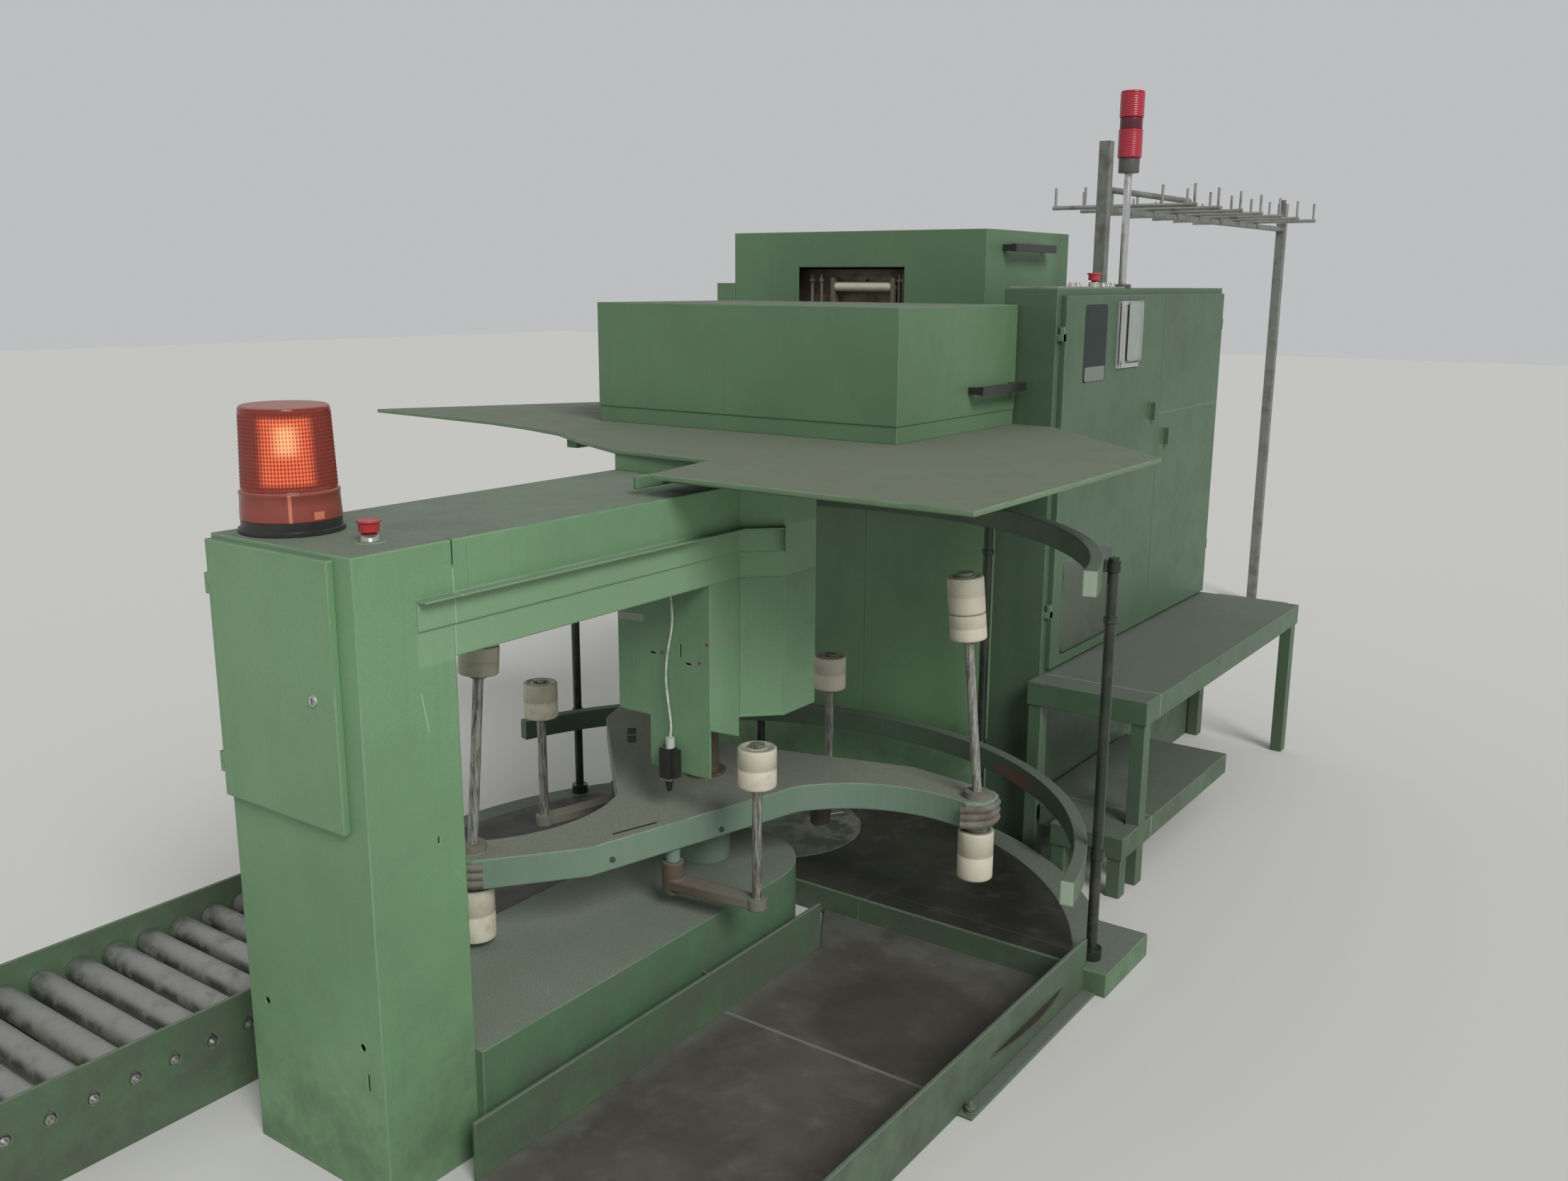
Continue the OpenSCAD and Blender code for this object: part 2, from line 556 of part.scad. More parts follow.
/* Coiler cover on the table */
module cover_frame() color([0.35, 0.55, 0.37]) {
  tub([lb_x0 + 2, lb_y0 + 2, table_top], [lb_x1 - 2, lb_y1 - 2, table_top + 42], [4, 4, 4, 4, 0, 0]);
  for (y = [lb_y0 + 90, lb_y1 - 120]) translate([lb_x0 - 7, y, table_top + 42]) rotate([-90, 0, 0]) hinge_fixed();
  for (y = [lb_y0 + 90, lb_y1 - 120]) bx([lb_x0 - 7, y - 18, table_top], [lb_x0 + 2, y, table_top + 42]);
}
module coiler_cover_box() color([0.36, 0.57, 0.38]) {
  z0 = table_top + 42.3;
  difference() {
    tub([lb_x0, lb_y0, z0], [lb_x1, lb_y1, table_top + coiler_cover], [2, 2, 2, 2, 0, 2]);
    for (y = [lb_y0 + 90, lb_y1 - 120]) translate([lb_x0 - 7, y - 19, table_top + 42]) rotate([-90, 0, 0]) cylinder(r = 7.6, h = 19);
  }
  for (y = [lb_y0 + 90, lb_y1 - 120]) {
    translate([lb_x0 - 7, y, table_top + 42]) rotate([-90, 0, 0]) hinge_moving();
    difference() {
      bx([lb_x0 - 7, y + 0.2, z0], [lb_x0 + 1, y + 18.2, z0 + 16]);
      translate([lb_x0 - 7, y - 1, table_top + 42]) rotate([-90, 0, 0]) cylinder(r = 5, h = 21);
    }
  }
}
module handle(l) {
  for (y = [0, l - 22]) bx([0, y, -9], [30, y + 22, 9]);
  bx([30, 0, -11], [44, l, 11]);
}
module coiler_cover_handle() color([0.10, 0.11, 0.10]) translate([lb_x1, 705, table_top + 108]) handle(250);

/* Drafting head */
module drafting_stand() color([0.34, 0.53, 0.36]) {
  tub([ub_x0 - 73, ub_y0, table_top - table_sheet], [ub_x1, ub_y1, ub_z0 - 2], [3, 3, 3, 3, 3, 3]);
  tub([ub_x0 - 73, ub_y0, ub_z0 - 2], [ub_x0 - 2, ub_y1, ub_hz - 8], [2, 2, 2, 2, 0, 2]);
  for (y = [ub_y0 + 110, ub_y1 - 140]) {
    translate([ub_x0 - 7, y, ub_hz]) rotate([-90, 0, 0]) hinge_fixed();
    bx([ub_x0 - 14, y - 18, ub_hz - 8], [ub_x0 - 2, y, ub_hz]);
  }
}
module drafting_cover() color([0.36, 0.57, 0.38]) {
  difference() {
    tub([ub_x0, ub_y0, ub_z0 - 1.7], [ub_x1, ub_y1, cover_top], [2, 2, 2, 2, 0, 2]);
    bx([-514, ub_y0 - 1, ub_z0 - 3], [-134, ub_y0 + 3, 1643]);
    for (y = [ub_y0 + 110, ub_y1 - 140]) translate([ub_x0 - 7, y - 19, ub_hz]) rotate([-90, 0, 0]) cylinder(r = 7.6, h = 19.2);
  }
  for (y = [ub_y0 + 110, ub_y1 - 140]) {
    translate([ub_x0 - 7, y, ub_hz]) rotate([-90, 0, 0]) hinge_moving();
    difference() {
      bx([ub_x0 - 7, y + 0.2, ub_hz], [ub_x0 + 1, y + 18.2, ub_hz + 14]);
      translate([ub_x0 - 7, y - 1, ub_hz]) rotate([-90, 0, 0]) cylinder(r = 5, h = 21);
    }
  }
}
module drafting_cover_handle() color([0.10, 0.11, 0.10]) translate([ub_x1, 1225, cover_top - 50]) handle(275);
dr = [ -290, 1155, 1585];
module web_guide() color([0.50, 0.50, 0.48]) {
  for (x = [-405, -190]) difference() {
    bx([x, 1141, ub_z0 - 2], [x + 12, 1171, 1612]);
    translate([x - 1, dr[1], dr[2]]) rotate([0, 90, 0]) cylinder(r = 6 + running_fit, h = 14);
  }
  for (x = [-480, -445, -165, -150]) {
    cyl([x, 1150, ub_z0 - 2], 5, 92);
    cyl([x, 1150, 1600], 9, 8);
  }
  bx([-480, 1164, ub_z0 - 2], [-420, 1176, 1560]);
  difference() {
    bx([-393, 1178, ub_z0 - 2], [-190, 1184, 1618]);
    translate([-292, 1170, 1600]) rotate([-90, 0, 0]) cylinder(r = 9, h = 20);
  }
}
module delivery_roller() color([0.85, 0.80, 0.66]) {
  translate([-392.5, dr[1], dr[2]]) rotate([0, 90, 0]) cylinder(r = 14, h = 202);
  translate([-405, dr[1], dr[2]]) rotate([0, 90, 0]) cylinder(r = 6, h = 227);
}

/* Machine body, cabinet and doors */
module machine_body() color([0.35, 0.55, 0.37]) {
  difference() {
    tub([-790, body_y0, 0], [cab_x0, body_y1, tb], [3, 3, 3, 3, 4, 3]);
    bx([-162, body_y0 - 1, 80], [-160, body_y0 + 1, tb - 60]);
  }
}
module cabinet() color([0.36, 0.56, 0.38]) {
  difference() {
    tub([cab_x0, body_y0, 0], [cab_x1, cab_y1, cabinet_top], [3, 2.5, 3, 3, 4, 3]);
    bx([cab_x1 - 4, body_y0 + 40, 600], [cab_x1 + 1, 1705, cabinet_top - 60]);
    bx([cab_x1 - 4, 1765, 620], [cab_x1 + 1, cab_y1 - 40, cabinet_top - 60]);
  }
  for (z = [700, cabinet_top - 120]) {
    translate([cab_x1 + 7, body_y0 + 18, z]) hinge_fixed();
    bx([cab_x1, body_y0 + 5, z - 18], [cab_x1 + 7, body_y0 + 31, z]);
    translate([cab_x1 + 7, cab_y1 - 12, z]) hinge_fixed();
    bx([cab_x1, cab_y1 - 25, z - 18], [cab_x1 + 7, cab_y1, z]);
  }
}
dz0 = 532; dz1 = cabinet_top - 18;
module door_pan(y0, y1, hy) {
  difference() {
    tub([cab_x1, y0, dz0], [cab_x1 + 16, y1, dz1], [0, 2, 2, 2, 2, 2]);
    for (z = [700, cabinet_top - 120]) bx([cab_x1 - 1, hy - 16, z - 19], [cab_x1 + 16.6, hy + 16, z + 0.1]);
  }
  for (z = [700, cabinet_top - 120]) difference() {
    union() {
      translate([cab_x1 + 7, hy, z]) hinge_moving();
      bx([cab_x1 + 0.5, min(hy, hy < 1500 ? y0 + 3 : y1 - 3), z + 0.2], [cab_x1 + 15, max(hy, hy < 1500 ? y0 + 3 : y1 - 3), z + 18.2]);
    }
    translate([cab_x1 + 7, hy, z - 1]) cylinder(r = 4 + running_fit, h = 18.5);
  }
}
module cabinet_door_front() color([0.34, 0.54, 0.37]) {
  difference() {
    door_pan(body_y0 + 28, 1738, body_y0 + 18);
    bx([cab_x1 + 10, 1364, 1357], [cab_x1 + 20, 1533, 1550]);
  }
  bx([cab_x1 + 16, 1665, 1188], [cab_x1 + 34, 1685, 1240]);
}
module cabinet_door_rear() color([0.34, 0.54, 0.37]) {
  difference() {
    door_pan(1742, cab_y1 - 22, cab_y1 - 12);
    bx([cab_x1 + 15.4, 1741, 1200], [cab_x1 + 18, cab_y1 - 20, 1202]);
  }
  bx([cab_x1 + 16, 1795, 1100], [cab_x1 + 34, 1815, 1152]);
}
module cabinet_window() color([0.70, 0.74, 0.76]) {
  difference() {
    bx([cab_x1 + 14, 1364.3, 1357.3], [cab_x1 + 21, 1532.7, 1549.7]);
    bx([cab_x1 + 18, 1400, 1370], [cab_x1 + 22, 1520, 1538]);
  }
  for (y = [1372, 1386]) bx([cab_x1 + 21, y, 1362], [cab_x1 + 25, y + 6, 1545]);
}
module control_panel() color([0.42, 0.50, 0.43]) {
  difference() {
    bx([282, body_y0 + 4, cabinet_top], [cab_x1 - 3, 1452, cabinet_top + 5]);
    cyl([398, 1278, cabinet_top - 1], 8 + running_fit, 15);
  }
  for (y = [1128, 1162, 1340, 1372, 1404]) {
    cyl([398, y, cabinet_top + 5], 12, 5);
    cyl([398, y, cabinet_top + 10], 9, 6);
  }
  difference() {
    cyl([398, 1278, cabinet_top + 5], 15, 12);
    cyl([398, 1278, cabinet_top + 4], 8 + running_fit, 15);
  }
}
// Push button on a stem of radius m: a straight skirt under a wider dished head.
module mushroom(r, m) {
  cyl([0, 0, 0], m, 20);
  cyl([0, 0, 17.2], r - 3.5, 16);
  difference() {
    cyl([0, 0, 33], r, 5);
    cyl([0, 0, 36.5], r - 3, 3);
  }
}
module panel_stop() color([0.75, 0.07, 0.07]) translate([398, 1278, cabinet_top + 5]) mushroom(stop_diameter/2 - 1, 8);
module stack_light() color([0.55, 0.08, 0.10]) {
  p = [392, 1500];
  cyl([p[0], p[1], cabinet_top], 26, 12);
  cyl([p[0], p[1], cabinet_top + 12], 11, 1913 - cabinet_top - 12);
  cyl([p[0], p[1], 1913], 30, 42);
  cyl([p[0], p[1], 1955], 35, 78);
  cyl([p[0], p[1], 2033], 32, 34);
  cyl([p[0], p[1], 2067], 35, 73);
}

/* Steps beside the cabinet */
module step_platform() color([0.36, 0.57, 0.40]) {
  px0 = cab_x1 + 0.3;
  tub([px0, 905, step_top - 65], [770, cab_y1, step_top], [4, 4, 4, 4, 0, 5]);
  for (y = [909, 2265]) for (x = [px0, 724]) bx([x + 4, y, 0], [x + 42, y + 42, step_top - 5]);
  tub([560, 799, 110], [766, 905, 170], [4, 4, 4, 4, 0, 5]);
  for (x = [564, 724]) bx([x, 803, 0], [x + 38, 841, 165]);
  for (x = [728]) bx([x, 901, 110], [x + 38, 909, 170]);
}

/* Beacon and stop button on the column */
bb = [-86, cy0 + 105, beam_top];
module beacon_base() color([0.09, 0.09, 0.09]) translate(bb) difference() {
  union() {
    cyl([0, 0, 0], beacon_diameter/2, 8);
    cyl([0, 0, 8], beacon_diameter/2 - 5, 16);
    cyl([0, 0, 24], 22, 10);
  }
  cyl([0, 0, 26], 6 + running_fit, 10);
}
module beacon_lens() color([0.95, 0.33, 0.10, 0.6]) translate(bb) {
  rb = beacon_diameter/2 - 4;
  difference() {
    union() {
      translate([0, 0, 24]) cylinder(r1 = rb, r2 = rb - 2, h = 48, $fn = 72);
      translate([0, 0, 72]) cylinder(r1 = rb - 4, r2 = rb - 9, h = beacon_lens_h - 56, $fn = 72);
      translate([0, 0, 16 + beacon_lens_h]) cylinder(r1 = rb - 9, r2 = rb - 17, h = 8, $fn = 72);
      for (z = [80:10:24 + beacon_lens_h - 18]) translate([0, 0, z]) cylinder(r = rb - 4 - (z - 72)*0.035 + 1.2, h = 4, $fn = 72);
    }
    translate([0, 0, 23]) cylinder(r1 = rb - 5, r2 = rb - 20, h = beacon_lens_h - 3, $fn = 72);
  }
}
module beacon_reflector() color([0.90, 0.90, 0.86]) translate(bb) rotate([0, 0, -35]) {
  cyl([0, 0, 26.5], 6, 60);
  difference() {
    cyl([0, 0, 60], 42, 70);
    translate([30, 0, 58]) cylinder(r = 42, h = 75);
  }
  cyl([0, 0, 60], 42, 3);
  cyl([0, 0, 34.2], 16, 5);
}
sb = [115, cy0 + 112, beam_top];
module stop_button() color([0.75, 0.07, 0.07]) translate(sb) mushroom(stop_diameter/2, 12);

/* Creel behind the machine */
cr_y0 = body_y1 + 60;
cr_y1 = body_y1 + creel_length;
module creel_frame() color([0.45, 0.46, 0.44]) {
  bx([-70, cr_y0, 0], [-30, cr_y0 + 40, creel_rail_z + 225]);
  bx([-70, cr_y1 - 40, 0], [-30, cr_y1, creel_rail_z + 110]);
  bx([-68, cr_y0 + 40, creel_rail_z - 20], [-32, cr_y1 - 40, creel_rail_z]);
  bar([-50, cr_y0 + 39, creel_rail_z + 60], [-50, cr_y0 + 900, creel_rail_z + 60], 11);
  bx([-58, cr_y0 + 860, creel_rail_z], [-42, cr_y0 + 876, creel_rail_z + 52]);
  bx([-62, body_y1, tb - 90], [-38, cr_y0, tb - 40]);
  for (y = [cr_y0, cr_y1 - 40]) {
    bx([-230, y - 5, 0], [-70, y + 45, 8]);
    bx([-30, y - 5, 0], [130, y + 45, 8]);
  }
  cyl([-50, cr_y1 - 20, creel_rail_z + 110], 12, 18);
}
gn = floor((creel_length - 500)/260);
module creel_guides() color([0.70, 0.71, 0.68]) {
  for (i = [0:gn]) {
    y = cr_y0 + 200 + 260*i;
    bar([-330, y, creel_rail_z + 8], [230, y, creel_rail_z + 8], 8);
    for (x = [-320, -200, 100, 220]) bar([x, y, creel_rail_z + 8], [x, y, creel_rail_z + 82], 5);
  }
}

column();
column_door();
beam();
drive_housing();
sensor();
sensor_cable();
turnstile();
arm_roller_top_1();
arm_roller_top_2();
arm_roller_top_3();
arm_roller_mid_1();
arm_roller_mid_2();
arm_roller_mid_3();
arm_roller_low_1();
arm_roller_low_2();
arm_roller_low_3();
lever_1();
lever_2();
lever_3();
lever_roller_1();
lever_roller_2();
lever_roller_3();
plinth();
base_plate();
floor_disc();
can_turntable();
coiler_housing();
coiler_plate();
ramp_deck();
ramp_rails();
track_rails();
track_rollers();
guard_rings();
guard_posts();
table_sheet_top();
table_frame();
cover_frame();
coiler_cover_box();
coiler_cover_handle();
drafting_stand();
drafting_cover();
drafting_cover_handle();
delivery_roller();
web_guide();
machine_body();
cabinet();
cabinet_door_front();
cabinet_door_rear();
cabinet_window();
control_panel();
panel_stop();
stack_light();
step_platform();
beacon_base();
beacon_lens();
beacon_reflector();
stop_button();
creel_frame();
creel_guides();
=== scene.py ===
import json
import math

import bpy
import numpy as np
from mathutils import Matrix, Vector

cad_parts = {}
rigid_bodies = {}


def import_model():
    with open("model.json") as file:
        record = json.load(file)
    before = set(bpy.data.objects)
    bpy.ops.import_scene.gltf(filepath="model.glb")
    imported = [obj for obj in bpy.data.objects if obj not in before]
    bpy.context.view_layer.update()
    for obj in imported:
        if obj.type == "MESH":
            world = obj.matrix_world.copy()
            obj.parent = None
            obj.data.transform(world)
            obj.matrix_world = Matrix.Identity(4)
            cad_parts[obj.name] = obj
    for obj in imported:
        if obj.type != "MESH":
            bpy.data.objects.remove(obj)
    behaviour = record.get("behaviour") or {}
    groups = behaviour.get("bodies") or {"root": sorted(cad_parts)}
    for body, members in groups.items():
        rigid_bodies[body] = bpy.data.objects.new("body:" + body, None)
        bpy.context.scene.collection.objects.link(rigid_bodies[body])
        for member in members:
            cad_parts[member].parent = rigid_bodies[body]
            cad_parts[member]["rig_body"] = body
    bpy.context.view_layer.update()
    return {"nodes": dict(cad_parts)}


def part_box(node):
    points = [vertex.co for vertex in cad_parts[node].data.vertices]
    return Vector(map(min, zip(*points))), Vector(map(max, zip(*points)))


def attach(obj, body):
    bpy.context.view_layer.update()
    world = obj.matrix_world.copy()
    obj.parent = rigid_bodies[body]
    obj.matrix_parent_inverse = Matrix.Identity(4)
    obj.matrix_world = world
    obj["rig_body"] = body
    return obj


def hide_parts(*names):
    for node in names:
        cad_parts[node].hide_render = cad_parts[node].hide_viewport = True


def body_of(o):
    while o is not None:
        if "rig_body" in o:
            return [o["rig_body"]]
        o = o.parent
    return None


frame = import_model()
parts = frame["nodes"]

# Viewpoint. A hand-held camera at standing eye height, 1.6 m, in front of the control column on
# the operator side, turned 35.4 degrees left of the machine's length and 12.7 degrees down.
eye = (1.9969, -2.4788, 1.6)
yaw, pitch, roll = math.radians(35.4046), math.radians(12.6806), math.radians(0.31025)
camera = bpy.data.objects.new("camera", bpy.data.cameras.new("camera"))
bpy.context.scene.collection.objects.link(camera)
sensor_mm, photo_focal_px, photo_width_px = 36.0, 1938.2, 2212
camera.data.sensor_fit, camera.data.sensor_width = "HORIZONTAL", sensor_mm
camera.data.lens = sensor_mm * photo_focal_px / photo_width_px
camera.data.clip_start, camera.data.clip_end = 0.05, 200.0
camera.matrix_world = (Matrix.Translation(eye) @ Matrix.Rotation(yaw, 4, "Z")
                       @ Matrix.Rotation(math.pi / 2 - pitch, 4, "X") @ Matrix.Rotation(roll, 4, "Z"))
bpy.context.scene.camera = camera


# Sensor cable. A white 5 mm lead that drops from a gland under the beam to the black pocket
# sensor, in one slack S-bend; it is held at both ends and hangs free between them.
def rounded_path(points, steps):
    """Catmull-Rom curve: each span is the cubic through its two ends, with the slope at an end
    half the step from the point before it to the point after it."""
    p = np.vstack([points[:1], points, points[-1:]])
    t = np.linspace(0, 1, steps, endpoint=False)[None, :, None]
    a, b, c, d = (p[k:len(p) - 3 + k, None] for k in range(4))
    curve = 0.5 * (2 * b + (c - a) * t + (2 * a - 5 * b + 4 * c - d) * t**2 + (3 * b - a - 3 * c + d) * t**3)
    return np.vstack([curve.reshape(-1, 3), points[-1:]])


def mesh_of(name, points, faces, smooth=True):
    """A new object at the origin with these points, in metres, and faces given as index rows."""
    mesh = bpy.data.meshes.new(name)
    mesh.from_pydata(np.asarray(points).tolist(), [], faces)
    mesh.update()
    mesh.polygons.foreach_set("use_smooth", np.full(len(mesh.polygons), smooth))
    piece = bpy.data.objects.new(name, mesh)
    bpy.context.scene.collection.objects.link(piece)
    return piece


def skin(name, rings, smooth=True):
    """Closed surface over rings[i, j]: ring i is a loop of points j and each ring joins the next.
    An end ring with no size is one point with a fan of triangles; any other end gets a flat face."""
    n, m = rings.shape[:2]
    pole = [np.ptp(rings[k], axis=0).max() < 1e-7 for k in (0, -1)]
    body = rings[int(pole[0]):n - int(pole[1])]
    i, j = np.meshgrid(np.arange(len(body) - 1), np.arange(m), indexing="ij")
    k = (j + 1) % m
    faces = np.stack([i * m + j, i * m + k, (i + 1) * m + k, (i + 1) * m + j], -1).reshape(-1, 4).tolist()
    points = body.reshape(-1, 3)
    around, top = list(range(m)), (len(body) - 1) * m
    if pole[0]:
        faces += [[len(points), (a + 1) % m, a] for a in around]
        points = np.vstack([points, rings[0, :1]])
    else:
        faces.append(around[::-1])
    if pole[1]:
        faces += [[len(points), top + a, top + (a + 1) % m] for a in around]
        points = np.vstack([points, rings[-1, :1]])
    else:
        faces.append([top + a for a in around])
    return mesh_of(name, points, faces, smooth)


def circle(sides):
    return np.linspace(0, 2 * np.pi, sides, endpoint=False)


def tube(name, path, radius, sides=10):
    """Round bar along a path: a circle of the radius stands square to the path's direction at
    each point, its first corner kept on the side nearest to +X."""
    d = np.gradient(path, axis=0)
    d /= np.linalg.norm(d, axis=1)[:, None]
    u = np.cross(np.cross(d, [1.0, 0.1, 0.0]), d)
    u /= -np.linalg.norm(u, axis=1)[:, None]
    v = np.cross(d, u)
    a = circle(sides)[None, :, None]
    return skin(name, path[:, None] + radius * (np.cos(a) * u[:, None] + np.sin(a) * v[:, None]))


def turned_piece(name, profile, place, sides=48):
    """Surface of revolution: profile[i] = (radius, height) is turned about the local z axis, and
    the closed line of the profile makes a ring-shaped solid. place is the 4x4 matrix of the axis."""
    a = circle(sides)
    r, z = profile[:, 0, None], profile[:, 1, None]
    local = np.stack([r * np.cos(a), r * np.sin(a), z + 0 * a, np.ones((len(profile), sides))], -1)
    world = (local @ np.asarray(place).T)[..., :3]
    n, m = len(profile), sides
    i, j = np.meshgrid(np.arange(n), np.arange(m), indexing="ij")
    i2, j2 = (i + 1) % n, (j + 1) % m
    faces = np.stack([i * m + j, i * m + j2, i2 * m + j2, i2 * m + j], -1).reshape(-1, 4)
    return mesh_of(name, world.reshape(-1, 3), faces.tolist())


def turn(z, y=0.0):
    """Matrix of a turn by y degrees about the y axis and then by z degrees about the z axis."""
    return np.array(Matrix.Rotation(math.radians(z), 4, "Z") @ Matrix.Rotation(math.radians(y), 4, "Y"))


def shift(x, y, z):
    """Matrix of a move by x, y, z metres."""
    return np.array(Matrix.Translation((x, y, z)))


cable_y, cable_radius, cable_steps = -0.255, 0.0025, 6
cable_route = np.array([[108, 610], [111, 640], [104, 690], [98, 745], [103, 800], [116, 860], [118, 900],
                        [112, 956]]) / 1000
cable_knots = np.column_stack([cable_route[:, 0], np.full(len(cable_route), cable_y), cable_route[:, 1]])
cable_path = rounded_path(cable_knots, cable_steps)
cable = tube("sensor_cable_white", cable_path, cable_radius)


class Finish:
    """A material whose values are added up as plain arithmetic on Field objects."""

    def __init__(self, name):
        self.material = bpy.data.materials.new(name)
        self.material.use_nodes = True
        self.tree = self.material.node_tree
        self.shader = self.tree.nodes["Principled BSDF"]

    def node(self, kind, settings=None, inputs=None, out=0):
        """Any node: its settings first, then the values or links of its sockets, by name or number."""
        made = self.tree.nodes.new(kind)
        for key, value in (settings or {}).items():
            setattr(made, key, value)
        for key, value in (inputs or {}).items():
            if isinstance(value, Field):
                self.tree.links.new(value.socket, made.inputs[key])
            else:
                made.inputs[key].default_value = value
        return Field(self, made.outputs[out])

    def mix(self, share, a, b):
        """Colour a where share is 0 and colour b where it is 1."""
        full = [x if isinstance(x, Field) else (*x, 1.0) for x in (a, b)]
        return self.node("ShaderNodeMix", {"data_type": "RGBA"}, {0: share, 6: full[0], 7: full[1]}, 2)

    def place(self):
        """Where the point is at rest, in metres in the shared frame."""
        return self.node("ShaderNodeTexCoord", out="Object")

    def axis(self, vector, k):
        return self.node("ShaderNodeSeparateXYZ", None, {0: vector}, k)

    def xyz(self):
        return [self.axis(self.place(), k) for k in range(3)]

    def facing_up(self):
        """1 where the surface faces straight up, 0 on a wall and -1 underneath."""
        return self.axis(self.node("ShaderNodeTexCoord", out="Normal"), 2)

    def noise(self, scale, detail=3.0, rough=0.55, stretch=(1, 1, 1), shift=(0, 0, 0)):
        moved = self.node("ShaderNodeMapping", None, {"Vector": self.place(), "Scale": stretch, "Location": shift})
        inputs = {"Vector": moved, "Scale": scale, "Detail": detail, "Roughness": rough}
        return self.node("ShaderNodeTexNoise", None, inputs)

    def step(self, value, low, high):
        """0 where value is under low and 1 where it is over high, with a smooth change between."""
        inputs = {0: value, 1: low, 2: high, 3: 0.0, 4: 1.0}
        return self.node("ShaderNodeMapRange", {"interpolation_type": "SMOOTHSTEP"}, inputs)

    def vector(self, operation, out, *values):
        return self.node("ShaderNodeVectorMath", {"operation": operation}, dict(enumerate(values)), out)

    def edge(self, radius):
        """How far the surface turns within this radius of a corner, 0 on a flat face; with the
        softened normal that goes with it."""
        soft = self.node("ShaderNodeBevel", {"samples": 4}, {"Radius": radius})
        true = self.node("ShaderNodeNewGeometry", out="Normal")
        same = self.vector("DOT_PRODUCT", 1, soft, true)
        return self.step(1 - same, 0.015, 0.16), soft

    def bump(self, height, depth=0.001, strength=1.0, normal=None):
        inputs = {"Height": height, "Distance": depth, "Strength": strength}
        if normal is not None:
            inputs["Normal"] = normal
        return self.node("ShaderNodeBump", None, inputs)

    def inside(self, value, low, high, soft=0.001):
        """1 where value lies between low and high, falling to 0 over soft outside them."""
        return self.step(value, low - soft, low) * (1 - self.step(value, high, high + soft))

    def off_axis(self, point, direction=(0, 0, 1)):
        """Distance from the straight line through point along the unit direction."""
        arm = self.vector("SUBTRACT", 0, self.place(), point)
        return self.vector("LENGTH", 1, self.vector("CROSS_PRODUCT", 0, arm, direction))

    def coat(self, colour, rough, normal, shine=0.0):
        self.colour, self.rough, self.shine = colour, rough, shine
        return self.set(Base_Color=colour, Roughness=rough, Normal=normal, Metallic=shine)

    def over(self, mask, colour, rough, shine=0.0):
        """A second coat laid over the first where mask is 1."""
        self.colour = self.mix(mask, self.colour, colour)
        self.rough = self.rough * (1 - mask) + mask * rough
        self.shine = (1 - mask) * self.shine + mask * shine
        return self.set(Base_Color=self.colour, Roughness=self.rough, Metallic=self.shine)

    def set(self, **sockets):
        """Principled sockets by name, with _ for a space."""
        for key, value in sockets.items():
            socket = self.shader.inputs[key.replace("_", " ")]
            if isinstance(value, Field):
                self.tree.links.new(value.socket, socket)
            else:
                socket.default_value = value
        return self


class Field:
    """A value that varies over a finish: the output of one of its nodes."""

    def __init__(self, finish, socket):
        self.finish, self.socket = finish, socket

    def math(self, operation, *others):
        return self.finish.node("ShaderNodeMath", {"operation": operation}, dict(enumerate((self, *others))))

    def __add__(self, other):
        return self.math("ADD", other)

    def __sub__(self, other):
        return self.math("SUBTRACT", other)

    def __rsub__(self, other):
        return self.finish.node("ShaderNodeMath", {"operation": "SUBTRACT"}, {0: other, 1: self})

    def __mul__(self, other):
        return self.math("MULTIPLY", other)

    __radd__, __rmul__ = __add__, __mul__

    def clear(self):
        """Kept between 0 and 1."""
        return self.math("MINIMUM", 1.0).math("MAXIMUM", 0.0)


def least(fields):
    """The smallest of several fields of one finish."""
    first, *others = fields
    for other in others:
        first = first.math("MINIMUM", other)
    return first


def paint(piece, finish):
    """Puts the one finish on every slot of a piece."""
    piece.data.materials.clear()
    piece.data.materials.append(finish.material)


def paint_nodes(names, finish):
    for name in names.split():
        paint(parts[name], finish)


white_lead = Finish("white_lead")
lead_dirt = white_lead.noise(60.0, 4.0)
lead_colour = white_lead.mix(white_lead.step(lead_dirt, 0.45, 0.8), (0.62, 0.64, 0.58), (0.30, 0.31, 0.26))
white_lead.set(Base_Color=lead_colour, Roughness=0.5, Normal=white_lead.bump(lead_dirt, 0.0004))
paint(cable, white_lead)
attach(cable, "frame_body")
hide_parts("sensor_cable")


# Painted sheet-metal housings: column, beam, drive housing, plinth, base, covers, body, cabinet.
# All are folded steel sheet in one green machine enamel, dulled by years of cotton dust that
# lies thick on what faces up, with dark grime near the floor and pale wear along the folds. Three
# copies carry painted light and shade: the body's green is painted lighter as light, the cabinet's
# darker as shade, and the plinth's top dust paler as light.
def shade(colour, factor, lift=0.0):
    return tuple(c * factor + lift for c in colour)


